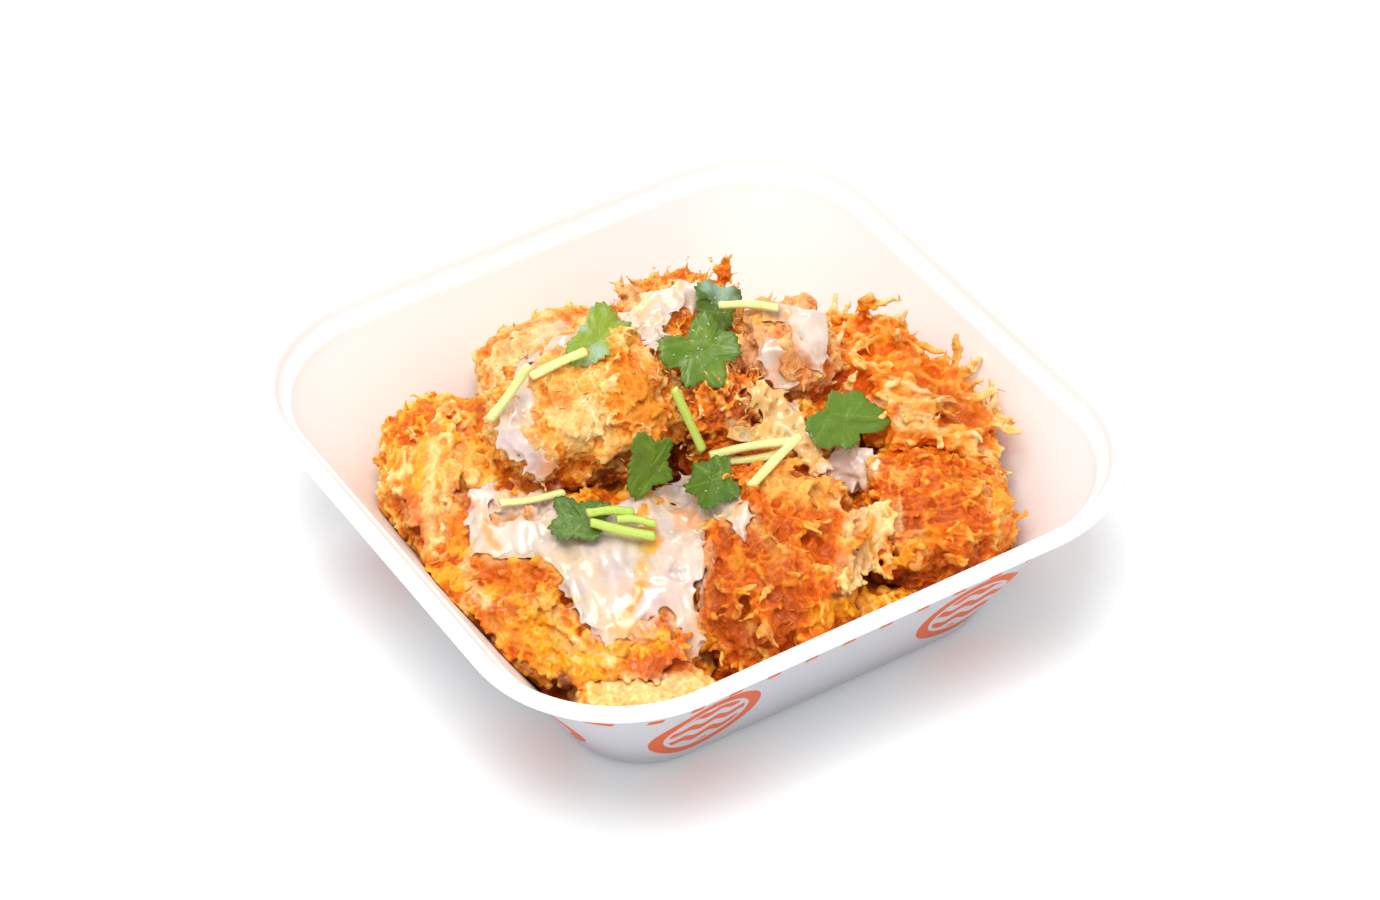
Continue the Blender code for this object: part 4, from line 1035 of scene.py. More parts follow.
def crumbs_on(ground, ground_tris, ground_sky, look, rng):
    """Shreds and lumps that grow out of the ground; where egg lies over them they are short and flat."""
    normals = neighbour_mean(point_normals(ground, ground_tris), ground_tris, 3)
    seen = (ground_sky[ground_tris].mean(axis=1) > SKY_FOR_CRUMBS).astype(float)
    parts = []
    for density, length, width, thick, rise, curl in look["layers"]:
        place, chosen, share = scatter(ground, ground_tris, seen, density, rng)
        corner = normals[ground_tris[chosen]]
        normal = unit(sum(corner[:, k] * share[k][:, None] for k in range(3)))
        along = random_ways(normal, rng, np.array(look["grain"], float))
        covered = skin_gap(place, 3.0) < EGG_OVER
        low = (length[0] * 0.5, length[1] * 0.5)
        for here, *ranges in ((~covered, length, width, thick, rise, curl),
                              (covered, low, width, thick, (0.0, 0.15), (0.0, 0.3))):
            parts.append(shreds(place[here], normal[here], along[here], rng, *ranges))
    place, chosen, _ = scatter(ground, ground_tris, seen, look["lumps"], rng)
    parts.append(nuggets(place, unit(normals[ground_tris[chosen, 0]]), rng, look["lump_size"]))
    return parts


def build_crust(name, look):
    """A node's crust: its own form, crumbs fused on, a fine crinkle, tones from hollow to tip, and painted
    shade in hollows and deep between the pieces.
    """
    rng = np.random.default_rng(look["seed"])
    seed = look["seed"]
    ground, ground_tris, ground_sky, ground_ridge, pores = crust_ground(*SOLID[name], look)
    ground_tree = tree_of(ground, ground_tris)
    parts = [(ground, ground_tris)] + crumbs_on(ground, ground_tris, ground_sky, look, rng)
    parts += thread_tubes(name, ground_tree)

    def hidden(spots):
        return ground_sky[ground_tris[nearest(ground_tree, spots)[1], 0]] < SKY_FOR_DETAIL

    skin, skin_tris = fused(parts, look["cell"], look["soften"], hidden)
    outward = point_normals(skin, skin_tris)
    fine = crinkle(skin, look["wrinkle"] * 0.38, seed + 40, np.array(look["grain"], float)) - RIDGE_MEAN
    skin = inside_bowl(skin + outward * (fine * look["fine"])[:, None])
    outward = point_normals(skin, skin_tris)
    height, face = nearest(ground_tree, skin)
    corners = ground_tris[face]
    ridge = ground_ridge[corners].mean(axis=1) - RIDGE_MEAN
    seen_here = neighbour_mean(ground_sky[corners].mean(axis=1), skin_tris, 4)
    hollow = hollow_depth(skin, skin_tris, outward)
    patch = layered(skin, 4.8, 2, seed=seed + 9)
    grit = layered(skin, 1.1, 2, seed=seed + 13)
    # Painted shade: hollows and pores move the tone down the ramp towards its darker colours
    level = LEVEL["base"] + ridge * LEVEL["ridge"] + np.clip(height, -0.5, 1.8) * LEVEL["height"]
    level += patch * LEVEL["patch"] + grit * LEVEL["grit"] + fine * LEVEL["fine"] - hollow * LEVEL["hollow"]
    level -= pores[corners].mean(axis=1) * LEVEL["pore"]
    # Painted shade and light: the lightness is lower in hollows and a little higher on ridges, with random
    # grit
    lightness = LIGHT["base"] + ridge * LIGHT["ridge"] - hollow * LIGHT["hollow"] + grit * LIGHT["grit"]
    lightness = np.clip(lightness, LIGHT["least"], LIGHT["most"])
    tone = tinted(skin, ramp(level, look["stops"]), lightness)
    if look["slot"] == "crumb":
        film = (1 - smooth_step(skin_gap(skin, 3.5) + 0.8 * patch + 0.5 * grit, 0.4, 2.2)) * 0.45
        tone = mixed(tone, linear("peach") * lightness[:, None], film)
    # Painted shade deep between the pieces, where little of the sky is seen
    depth = 1 - smooth_step(seen_here, 0.02, 0.26)
    tone = mixed(tone, tone * DEEP_SHADE, depth * 0.55)
    add_piece(name + "_crust", skin, skin_tris, tone, look["kind"], look["slot"], name)
    if look["crisp"]:
        build_crisps(name, look, skin, skin_tris, tone, outward, smooth_step(seen_here, 0.02, 0.2))
    return skin, skin_tris


CRUST_PARTS = [build_crust(name, look) for name, look in CRUSTS.items()]
CRUST_TREE = tree_of(*joined(CRUST_PARTS))

# Egg skins: folds run along flow; the colour is base, with shade in patches and thin where the crust is near
WHITE = dict(base="white", thin="peach", shade="lilac", fold=0.42, fold_size=5.4, cell=0.48, soften=9,
             pits=0.0, kind="egg", slot="egg_white", drop=0.9, fringe=0.45)
SKINS = {
    "egg_white_front": dict(WHITE, seed=101, flow=(-0.35, -0.85, -0.4), base="veil", fold=0.6),
    "egg_white_back": dict(WHITE, seed=102, flow=(-0.2, -0.5, -0.8), shade="pink"),
    "egg_white_upper_right": dict(WHITE, seed=103, flow=(0.3, -0.6, -0.7), base="grey", thin="rosy"),
    "egg_white_middle": dict(
        WHITE, seed=104, flow=(0.5, -0.8, -0.2), base="peach", thin="pale_gold", pits=0.9, shade="pink"),
    "egg_white_right": dict(WHITE, seed=105, flow=(0.3, -0.8, -0.5), shade="pink", drop=-0.6, fringe=0.8),
    "egg_white_upper_left": dict(WHITE, seed=106, flow=(-0.3, -0.6, -0.7)),
    "egg_white_back_left": dict(WHITE, seed=107, flow=(-0.3, -0.4, -0.7), base="pink"),
}
STRANDS = dict(CURDS, layers=[SHORT_RIBBONS, SOFT], lumps=0.06, soften=2)
YOLK = dict(CURDS, cell=0.4, slot="egg_yolk", stops="0.0 orange 0.4 yolk 1.0 yellow")
CURDY_SKINS = {
    "egg_cream_left": dict(
        STRANDS, seed=108, lump_size=(1.0, 2.6), cell=0.5, grain=(-0.4, -0.5, -0.8),
        stops="0.0 orange 0.3 gold 0.6 curd 1.0 cream"),
    "egg_strands_right": dict(
        STRANDS, seed=109, lump_size=(0.8, 2.0), cell=0.45, grain=(0.1, -0.5, -1.0), pits=1.0,
        stops="0.0 deep_orange 0.3 gold 0.6 curd 1.0 cream"),
    "egg_yellow_front": dict(
        CURDS, seed=110, layers=[SHORT_RIBBONS, FLAKES], lump_size=(1.0, 2.6), soften=1, cell=0.46,
        slot="egg_yolk", stops="0.0 deep_orange 0.3 orange 0.55 yolk 0.9 yellow 1.2 pale_gold"),
    "egg_yolk_right_front": dict(YOLK, seed=111, layers=[FLAKES], lumps=0.5, lump_size=(0.8, 1.6), soften=1),
    "egg_yolk_right_end": dict(YOLK, seed=112, layers=[SOFT], lumps=0.3, lump_size=(1.0, 2.0), soften=2),
}


# Lobes at an egg skin's rim: ranges of length, width, thickness, lift and curl, and how deep they start
LOBES = (1.0, 3.6), (1.0, 2.4), (0.7, 1.1), (-0.30, 0.0), (0.0, 0.1)
LOBE_SINK = 0.35


def fringe(points, tris, rng, per_square_mm):
    """Soft lobes and drips that run out from the rim of an egg skin over what lies under it."""
    faces = unit(face_normals(points, tris))
    centres = points[tris].mean(axis=1)
    under = np.array([BODY_TREE.find_nearest(centre)[1] for centre in centres.tolist()])
    rim = (np.abs(np.einsum("ij,ij->i", faces, under)) < 0.75).astype(float)
    place, chosen, _ = scatter(points, tris, rim, per_square_mm, rng)
    normal = under[chosen]
    along = faces[chosen] + rng.normal(0, 0.5, (len(place), 3)) + np.array([-0.1, -0.2, -0.35])
    return shreds(place - normal * LOBE_SINK, normal, beside(along, normal), rng, *LOBES)


def build_skin(name, look):
    """A node's egg skin: its form with a fringe, folds along its flow, pores, thin tones at the crust, and
    painted shade in its hollows and pores, with fold crests painted a little lighter.
    """
    points, tris = SOLID[name]
    seed = look["seed"]
    rim = fringe(points, tris, np.random.default_rng(seed), look["fringe"])
    skin, skin_tris = fused([(points, tris), rim], look["cell"], look["soften"])
    outward = point_normals(skin, skin_tris)
    flow = np.array(look["flow"])
    flow = flow / np.linalg.norm(flow)
    stretched = skin - (skin @ flow)[:, None] * flow * 0.6
    fold = crinkle(stretched, look["fold_size"], seed) - 0.3
    swell = layered(skin, 6.0, 2, seed + 3)
    small = layered(skin, 1.6, 1, seed + 7) * 0.5
    lift = fold * look["fold"] + swell * 0.5 + small * 0.05 - look["drop"] * 0.5
    holes = np.zeros(len(skin))
    if look["pits"]:
        holes = 1 - smooth_step(cell_distance(skin, 2.6, seed + 11), 0.12, 0.34)
        lift = lift - holes * look["pits"]
    upper = smooth_step(outward[:, 2], -0.1, 0.3)
    skin = skin + outward * (lift * (0.25 + 0.75 * upper))[:, None]
    skin = inside_bowl(neighbour_mean(skin, skin_tris, 2, 0.5))
    outward = point_normals(skin, skin_tris)
    hollow = hollow_depth(skin, skin_tris, outward, 4)
    thick = np.clip(nearest(CRUST_TREE, skin)[0], -1, 4)
    thin = 1 - smooth_step(thick + 0.5 * small + 0.4 * swell, 0.1, 1.5)
    patch = smooth_step(layered(skin, 4.2, 2, seed + 17), 0.0, 0.9)
    tone = mixed(plain_tone(look["base"], len(skin)), linear(look["shade"]), patch * 0.7)
    tone = mixed(tone, linear(look["thin"]), thin * 0.6)
    # Painted shade in the hollows and pores of the skin, and painted light on the crests of its folds
    lightness = np.clip(0.98 - hollow * 0.6, 0.75, 1.05)
    tone = tone * (lightness + fold * 0.06)[:, None]
    tone = mixed(tone, tone * PORE_SHADE, holes * 0.8)
    golden = smooth_step(layered(skin, 3.0, 2, seed + 19), 0.45, 1.0)
    tone = tinted(skin, mixed(tone, linear("gold"), golden * thin * 0.3), lightness)
    add_piece(name + "_skin", skin, skin_tris, tone, look["kind"], look["slot"], name)


for skin_name, skin_look in SKINS.items():
    build_skin(skin_name, skin_look)
for skin_name, skin_look in CURDY_SKINS.items():
    build_crust(skin_name, skin_look)


# Bed of rice and egg


# Grains of rice: how many to a square mm, then ranges of length, width, thickness, lift and curl
GRAINS = (0.10, (4.0, 5.6), (1.6, 2.2), (1.5, 2.0), (-0.1, 0.3), (0.0, 0.1))
# Size in mm of the cells that fuse the grains
BED_CELL = 1.5


def build_bed():
    """Grains fused on the bed; sauce and egg where it shows in front, paler rice in the far corner."""
    points, tris = SOLID[BED_NODE]
    rng = np.random.default_rng(61)
    faces = unit(face_normals(points, tris))
    open_faces = (faces[:, 2] > 0.3).astype(float)
    place, chosen, _ = scatter(points, tris, open_faces, GRAINS[0], rng)
    spin = unit(rng.normal(size=(len(place), 3)))
    grains = shreds(place, faces[chosen], unit(np.cross(faces[chosen], spin)), rng, *GRAINS[1:])
    skin, skin_tris = fused([(points, tris), grains], BED_CELL, 1)
    outward = point_normals(skin, skin_tris)
    lift = layered(skin, 3.0, 3, 63) * 0.25 * (outward[:, 2] > 0.2)
    skin = inside_bowl(skin + outward * lift[:, None])
    level = 0.5 + 0.5 * layered(skin, 5.0, 3, 65)
    tone = ramp(level, "0.0 brown 0.4 rust 0.7 orange 1.0 yellow")
    tone = tinted(skin, tone, np.ones(len(skin)) * 0.9)
    soaked = ramp(level, "0.0 gold 0.35 pale_gold 0.7 cream 1.0 yellow")
    tone = mixed(tone, soaked, 0.85 * smooth_step(skin[:, 0] + skin[:, 1], 12.0, 40.0))
    add_piece(BED_NODE + "_top", skin, skin_tris, tone, "bed", "rice", BED_NODE)


build_bed()


# Leaves


def plane_of(points):
    """Middle of the plane that fits the points, two directions in it, and the upward one across it."""
    middle = points.mean(axis=0)
    _, _, axes = np.linalg.svd(points - middle, full_matrices=False)
    across = axes[2] * (1 if axes[2][2] > 0 else -1)
    side = axes[0]
    return middle, side, np.cross(across, side), across


LEAF_RINGS = 11
LEAF_TURNS = 200
# Each leaf: main colour, second colour laid in patches, and its share; on leaf_1 and leaf_2 the second colour
# is painted sheen
LEAF_COLOURS = {
    "leaf_1": ("leaf_light", "leaf_painted_sheen", 0.5),
    "leaf_2": ("leaf_dark", "leaf_painted_sheen", 0.7),
    "leaf_3": ("leaf", "leaf_light", 0.3),
    "leaf_4": ("leaf", "leaf_dark", 0.2),
    "leaf_5": ("leaf", "leaf_light", 0.3),
    "leaf_6": ("leaf_dark", "leaf", 0.3),
    "leaf_7": ("leaf_dark", "leaf", 0.4),
}
# Painted sheen on the leaves, a pale colour that stands for light reflected off them: leaf, reach in mm,
# strength, place in the picture
PAINTED_SHEENS = [("leaf_2", 3.6, 0.8, (724, 291)), ("leaf_1", 2.4, 0.75, (598, 351)),
          ("leaf_2", 2.0, 0.6, (706, 286))]
# Water droplets on the leaves: leaf, number, range of radius in mm
DROPLETS = [("leaf_3", 15, (0.12, 0.28)), ("leaf_6", 9, (0.12, 0.24)), ("leaf_2", 7, (0.14, 0.30)),
            ("leaf_5", 3, (0.12, 0.2)), ("leaf_1", 4, (0.12, 0.25))]
# Spacing in mm of the teeth along a leaf's edge and of the side veins
TOOTH, SIDE_VEIN = 1.9, 2.1
# Half thickness of a leaf in mm, and the share of it that is left at the edge
LEAF_HALF, EDGE_SHARE = 0.17, 0.25
# Height in mm of a leaf's swells and of the waves at its edge, and depth of its veins
LEAF_SWELL, LEAF_WAVE, VEIN_DEPTH = 0.28, 0.10, 0.18


def leaf_outline(flat, edges):
    """Reach of the leaf's outline for each direction round its middle."""
    share = np.linspace(0, 1, 24)[None, :, None]
    dense = flat[edges[:, 0]][:, None] * (1 - share) + flat[edges[:, 1]][:, None] * share
    dense = dense.reshape(-1, 2)
    turn = np.arctan2(dense[:, 1], dense[:, 0])
    slot = np.floor((turn + math.pi) / (2 * math.pi) * LEAF_TURNS).astype(int) % LEAF_TURNS
    reach = np.zeros(LEAF_TURNS)
    np.maximum.at(reach, slot, np.hypot(dense[:, 0], dense[:, 1]))
    return reach


def averaged_round(values, rounds):
    """Values round a ring, evened out with their neighbours."""
    for _ in range(rounds):
        values = (np.roll(values, 1) + values + np.roll(values, -1)) / 3
    return values


def toothed(reach, seed, spread=8, fall=0.052, broad_share=0.72, own_share=0.28):
    """The outline made broader between its points, with small saw teeth along it."""
    broad = np.max([np.roll(reach, k) * math.cos(k * fall) for k in range(-spread, spread + 1)], axis=0)
    broad = averaged_round(broad, 3)
    arc = np.cumsum(broad) * 2 * math.pi / LEAF_TURNS
    saw = (arc / TOOTH) % 1.0
    saw = np.where(saw < 0.7, saw / 0.7, (1 - saw) / 0.3)
    swell = lumps(np.stack([arc, arc * 0, arc * 0], axis=1), 2.6, seed)
    depth = 0.75 + 0.45 * lumps(np.stack([arc, arc * 0, arc * 0 + 5], axis=1), 1.9, seed + 1)
    return (broad * broad_share + reach * own_share) * (1 + 0.02 * swell) + (saw - 0.6) * depth


def leaf_heights(spots, tree, middle, side, other, across, above=12, least=0.3, step=0.04):
    """Height of the node's middle layer over its plane; beyond its edge, the height a little further in."""
    heights = []
    for x, y in spots:
        shrink = 1.0
        found = None
        while found is None and shrink > least:
            start = middle + side * x * shrink + other * y * shrink
            top = tree.ray_cast(Vector(start + across * above), Vector(-across))[0]
            low = tree.ray_cast(Vector(start - across * above), Vector(across))[0]
            if top is not None and low is not None:
                found = ((np.array(top) + np.array(low)) / 2 - middle) @ across
            shrink -= step
        heights.append(found or 0.0)
    return np.array(heights)


def vein_grooves(spots, turns, smooth, width=0.22, beside_tip=16, least_tip=0.72, side_reach=0.42, lean=0.9):
    """How deep in a vein each place lies, from 0 to 1: one vein to each lobe's tip, with side veins."""
    rays = np.stack([np.cos(turns), np.sin(turns)], axis=1)
    notch = np.argmin(smooth)
    base = rays[notch] * smooth[notch] * 0.8
    gaps = np.full(len(spots), 9.0)
    for k in range(LEAF_TURNS):
        around = smooth[np.arange(k - beside_tip, k + beside_tip + 1) % LEAF_TURNS]
        if smooth[k] < around.max() or smooth[k] <= least_tip * smooth.max():
            continue
        axis = rays[k] * smooth[k] - base
        size = np.linalg.norm(axis)
        axis = axis / size
        run = (spots - base) @ axis
        gap = np.abs((spots - base) @ np.array([-axis[1], axis[0]]))
        inside = (run > 0) & (run < size)
        gaps = np.where(inside, np.minimum(gaps, gap), gaps)
        slant = np.abs(((run - gap * lean) / SIDE_VEIN) % 1.0 - 0.5) * SIDE_VEIN
        near = inside & (gap < size * side_reach)
        gaps = np.where(near, np.minimum(gaps, slant + width), gaps)
    return np.exp(-((gaps / width) ** 2))


def leaf_faces(count):
    """Triangles of both faces of a leaf and of its edge; each face has count points."""
    top = []
    for k in range(LEAF_TURNS):
        after = (k + 1) % LEAF_TURNS
        top.append((0, 1 + k, 1 + after))
        for ring in range(LEAF_RINGS - 1):
            a, b = 1 + ring * LEAF_TURNS + k, 1 + ring * LEAF_TURNS + after
            top += [(a, a + LEAF_TURNS, b + LEAF_TURNS), (a, b + LEAF_TURNS, b)]
    top = np.array(top)
    outer = 1 + (LEAF_RINGS - 1) * LEAF_TURNS
    edge = []
    for k in range(LEAF_TURNS):
        a, b = outer + k, outer + (k + 1) % LEAF_TURNS
        edge += [(a, a + count, b + count), (a, b + count, b)]
    return np.concatenate([top, top[:, ::-1] + count, np.array(edge)])


def leaf_tone(name, points, tree, groove, far, seed):
    """Green with patches of the second colour, pale veins, a darker edge and the painted sheens."""
    main, second, amount = LEAF_COLOURS[name]
    patch = layered(points, 4.0, 2, seed + 3)
    tone = mixed(plain_tone(main, len(points)), linear(second), smooth_step(patch, 0.1, 0.8) * amount)
    tone = mixed(tone, linear("leaf_light"), np.tile(groove, 2) * 0.45)
    tone = tone * (1 - 0.15 * smooth_step(np.tile(far, 2), 0.5, 1.0))[:, None]
    # Painted sheen: pale spots that stand for light reflected off the leaf
    for leaf, reach, strength, place in PAINTED_SHEENS:
        spot = on_food(*place, tree=tree) if leaf == name else None
        if spot is not None:
            gap = np.linalg.norm(points - spot, axis=1) * (1 + 0.3 * patch)
            share = (1 - smooth_step(gap, reach * 0.3, reach * 1.2)) * strength
            tone = mixed(tone, linear("leaf_painted_sheen"), share)
    return tone


def build_leaf(name, seed):
    """A thin toothed leaf over its node, with veins and waves; returns its upper points and directions."""
    points, tris = SOLID[name]
    tree = tree_of(points, tris)
    middle, side, other, across = plane_of(points)
    local = points - middle
    edges = np.concatenate([tris[:, [0, 1]], tris[:, [1, 2]], tris[:, [2, 0]]])
    reach = leaf_outline(np.stack([local @ side, local @ other], axis=1), edges)
    turns = (np.arange(LEAF_TURNS) + 0.5) / LEAF_TURNS * 2 * math.pi - math.pi
    smooth = averaged_round(reach, 10)
    edge = toothed(reach, seed)[:, None] * np.stack([np.cos(turns), np.sin(turns)], axis=1)
    spots = np.concatenate([edge[:1] * 0] + [edge * (ring / LEAF_RINGS) for ring in range(1, LEAF_RINGS + 1)])
    groove = vein_grooves(spots, turns, smooth)
    far = np.hypot(spots[:, 0], spots[:, 1]) / smooth.max()
    swell = layered(np.column_stack([spots, np.full(len(spots), seed * 7.0)]), 3.0, 2, seed)
    heights = leaf_heights(spots, tree, middle, side, other, across)
    heights = heights + swell * LEAF_SWELL - groove * VEIN_DEPTH
    heights += LEAF_WAVE * np.sin(spots[:, 0] * 1.7 + seed) * far
    half = np.full(len(spots), LEAF_HALF)
    half[-LEAF_TURNS:] *= EDGE_SHARE
    flat = middle + np.outer(spots[:, 0], side) + np.outer(spots[:, 1], other)
    upper, lower = flat + np.outer(heights + half, across), flat + np.outer(heights - half, across)
    both = np.concatenate([upper, lower])
    tone = leaf_tone(name, both, tree, groove, far, seed)
    add_piece(name + "_blade", both, leaf_faces(len(spots)), tone, "leaf", "leaf", name)
    return upper, side, other, across


LEAF_TOPS = {f"leaf_{k}": build_leaf(f"leaf_{k}", 200 + k) for k in range(1, 8)}


def build_droplets(name, count, size):
    """Clear beads of water on a leaf's upper side."""
    top, side, other, across = LEAF_TOPS[name]
    rng = np.random.default_rng(len(top) + count)
    inner = rng.choice(len(top) - 3 * LEAF_TURNS, count, replace=False)
    radius = rng.uniform(*size, count)[:, None, None]
    turn = rng.uniform(0, math.pi, count)
    long_way = np.cos(turn)[:, None] * side + np.sin(turn)[:, None] * other
    stretch = rng.uniform(1.0, 2.6, count)[:, None, None]
    ball = BALL[0][None]
    points = (top[inner] + across * 0.05)[:, None, :] + ball * radius
    points = points + long_way[:, None, :] * (ball @ long_way[:, :, None]) * radius * (stretch - 1)
    points = points - across * ((ball @ across)[:, :, None] * radius * 0.45)
    points = points.reshape(-1, 3)
    tris = repeated(BALL[1], count, len(BALL[0]))
    add_piece(name + "_drops", points, tris, plain_tone("drop", len(points)), "water", "leaf", name)


for drops in DROPLETS:
    build_droplets(*drops)


# Stems


GREEN_STEMS = ("stem_4", "stem_9", "stem_10", "stem_11")
# A stem's radius as a share of its node's, then ribs, swells and the slant of its cut ends as shares of that
STEM_SHARE, RIB, STEM_SWELL, CUT_SLANT = 0.86, 0.05, 0.04, 0.25


def stem_line(points, middle, axis, run):
    """Places along a stem's axis, with how far its own middle lies off the axis at each."""
    slices = np.linspace(run.min(), run.max(), 6)
    known, bends = [], []
    for low, high in zip(slices, slices[1:]):
        here = points[(run >= low - 0.3) & (run <= high + 0.3)]
        if len(here):
            off = (here.max(axis=0) + here.min(axis=0)) / 2 - middle
            known.append((low + high) / 2)
            bends.append(off - axis * (off @ axis))
    return known, np.array(bends)


def build_stem(name, seed, steps=26, turns=20):
    """A cut stalk along the node's own line, with faint ribs and flat pale ends."""
    points, _ = SOLID[name]
    middle = points.mean(axis=0)
    axis = np.linalg.svd(points - middle, full_matrices=False)[2][0]
    run = (points - middle) @ axis
    radius = np.linalg.norm(points - middle - np.outer(run, axis), axis=1).max() * STEM_SHARE
    known, bends = stem_line(points, middle, axis, run)
    side = unit(np.cross(axis, [0.0, 0.0, 1.0])[None])[0]
    up = np.cross(side, axis)
    angle = np.arange(turns) / turns * 2 * math.pi
    rings = []
    for k in range(steps + 1):
        share = k / steps
        at_end = k in (0, steps)
        at = run.min() + (run.max() - run.min()) * share
        bend = np.array([np.interp(at, known, bends[:, i]) for i in range(3)])
        swell = 1 + RIB * np.cos(5 * angle) + STEM_SWELL * math.sin(share * 9 + seed * 2)
        size = radius * swell * (0.93 if at_end else 1.0)
        ring = middle + axis * at + bend * 0.8 + side * 0.12 * math.sin(share * 5 + seed)
        ring = ring + np.outer(np.cos(angle) * size, side) + np.outer(np.sin(angle) * size * 0.92, up)
        rings.append(ring + np.outer(CUT_SLANT * radius * np.cos(angle) * at_end, axis))
    made = np.concatenate(rings + [rings[0].mean(axis=0)[None], rings[-1].mean(axis=0)[None]])
    tris = np.array(tube_faces(steps + 1, turns))
    if np.einsum("ij,ij->i", face_normals(made, tris), made[tris].mean(axis=1) - middle).sum() < 0:
        tris = tris[:, ::-1]
    main = "stem_green" if name in GREEN_STEMS else "stem"
    streak = lumps(np.stack([made @ axis / 9, made @ side, made @ up], axis=1), 0.7, seed)
    tone = mixed(plain_tone(main, len(made)), linear("stem_green"), smooth_step(streak, 0.0, 0.9) * 0.45)
    tone[-2:] = linear("cream")
    add_piece(name + "_stalk", made, tris, tone, "stem", "stem", name)


for k in range(1, 12):
    build_stem(f"stem_{k}", 300 + k)


# Bowl


# The print: rings, in mm from the wall's middle and from the base, with wavy bands inside, and dashes above
PRINT_COLOUR = (0.86, 0.34, 0.02)
RING_ACROSS, RING_UP = 36.0, 18.0
RING_RADIUS, RING_HALF_WIDTH, BANDS_RADIUS = 12.2, 1.6, 9.6
WAVE_TURN, WAVE_HEIGHT, BAND_TURN = 0.9, 0.9, 1.0
DASH_UP, DASH_HALF_HEIGHT, DASH_TURN, DASH_LEVEL = 33.0, 1.1, 0.62, 0.45


def bowl_material():
    """Smooth pale moulded plastic, with a plain orange print on the outside."""
    made = material("moulded_bowl", 0.36, 0.04, 0.10, 0.0, 1.0, 0.006, 40.0, 0.0, 3.0, roughness_swing=0.02,
                    specular=0.14)
    nodes, links = made.node_tree.nodes, made.node_tree.links
    shader = nodes["Principled BSDF"]
    base = shader.inputs["Base Color"].links[0].from_socket

    def number(kind, *values):
        node = add_node(nodes, "Math")
        node.operation = kind
        for k, value in enumerate(values):
            if isinstance(value, (int, float)):
                node.inputs[k].default_value = value
            else:
                links.new(value, node.inputs[k])
        return node.outputs[0]

    def within(value, middle, half):
        return number("LESS_THAN", number("ABSOLUTE", number("SUBTRACT", value, middle)), half)

    printed = add_node(nodes, "Attribute")
    printed.attribute_name = "print_place"
    parts = add_node(nodes, "SeparateXYZ")
    links.new(printed.outputs["Vector"], parts.inputs[0])
    across, up, outside = parts.outputs[0], parts.outputs[1], parts.outputs[2]
    away = number("SUBTRACT", number("ABSOLUTE", across), RING_ACROSS)
    height = number("SUBTRACT", up, RING_UP)
    radius = number("SQRT", number("ADD", number("MULTIPLY", away, away), number("MULTIPLY", height, height)))
    ring = within(radius, RING_RADIUS, RING_HALF_WIDTH)
    wave = number("MULTIPLY", number("SINE", number("MULTIPLY", away, WAVE_TURN)), WAVE_HEIGHT)
    band = number("SINE", number("MULTIPLY", number("ADD", height, wave), BAND_TURN))
    bands = number("MULTIPLY", number("GREATER_THAN", band, 0.0), number("LESS_THAN", radius, BANDS_RADIUS))
    beat = number("GREATER_THAN", number("SINE", number("MULTIPLY", across, DASH_TURN)), DASH_LEVEL)
    dash = number("MULTIPLY", within(up, DASH_UP, DASH_HALF_HEIGHT), beat)
    mark = number("MULTIPLY", number("MAXIMUM", number("MAXIMUM", ring, bands), dash), outside)
    mix = add_node(nodes, "Mix")
    mix.data_type = "RGBA"
    links.new(mark, mix.inputs["Factor"])
    links.new(base, mix.inputs["A"])
    mix.inputs["B"].default_value = (*linear(PRINT_COLOUR), 1)
    links.new(mix.outputs["Result"], shader.inputs["Base Color"])
    return made


# The bowl in mm: height, half side and corner of its lip and of its foot, and the floor's thickness
TOP, RIM, RIM_CORNER = 49.5, 85.0, 38.0
FOOT, FOOT_CORNER = 56.3, 20.5
# Foot: how far in from the foot's own outline, and height
FOOT_RINGS = [(2.8, 0.0), (1.4, 0.38), (0.4, 1.4), (0.0, 2.8)]
# Where the outer wall ends under the lip: half side, inset of its corner and drop from the top
WALL_HALF, WALL_INSET, WALL_DROP = 79.2, 5.4, 5.3
# Lip from outside to inside: how far in from the rim, and drop from the top
LIP_RINGS = [(5.4, 4.6), (1.3, 3.8), (0.3, 3.0), (0.0, 1.7), (0.5, 0.5), (1.5, 0.0), (2.8, 0.35), (3.9, 1.5),
             (4.8, 3.3), (6.0, 4.8), (7.2, 5.8), (8.1, 7.4)]
# Curve from the inner wall into the floor: how far in from the wall's end, and height over the floor
FLOOR_RINGS = [(0.0, 2.4), (0.9, 0.8), (3.0, 0.0)]
WALL_STEPS, INNER_STEPS, CORNER_STEPS = 12, 15, 26
# Rows from the wall's end to where the inside's colour sets in, and rows over which it does
LIP_END_ROW, INSIDE_FADE_ROWS = 36, 10
FLOOR_THICK = 1.7
# Colours as the eye reads them: lip, inside and outside; the outside is painted darker, as painted shade from
# the lip above it
LIP_COLOUR, INSIDE_COLOUR, OUTSIDE_SHADED_COLOUR = (0.985, 0.98, 0.98), (0.98, 0.972, 0.968), (0.79, 0.785, 0.81)


def straight_rings(start, end, steps):
    """Rings between two rings, the last one included."""
    shares = [k / steps for k in range(1, steps + 1)]
    return [np.array(start) * (1 - share) + np.array(end) * share for share in shares]


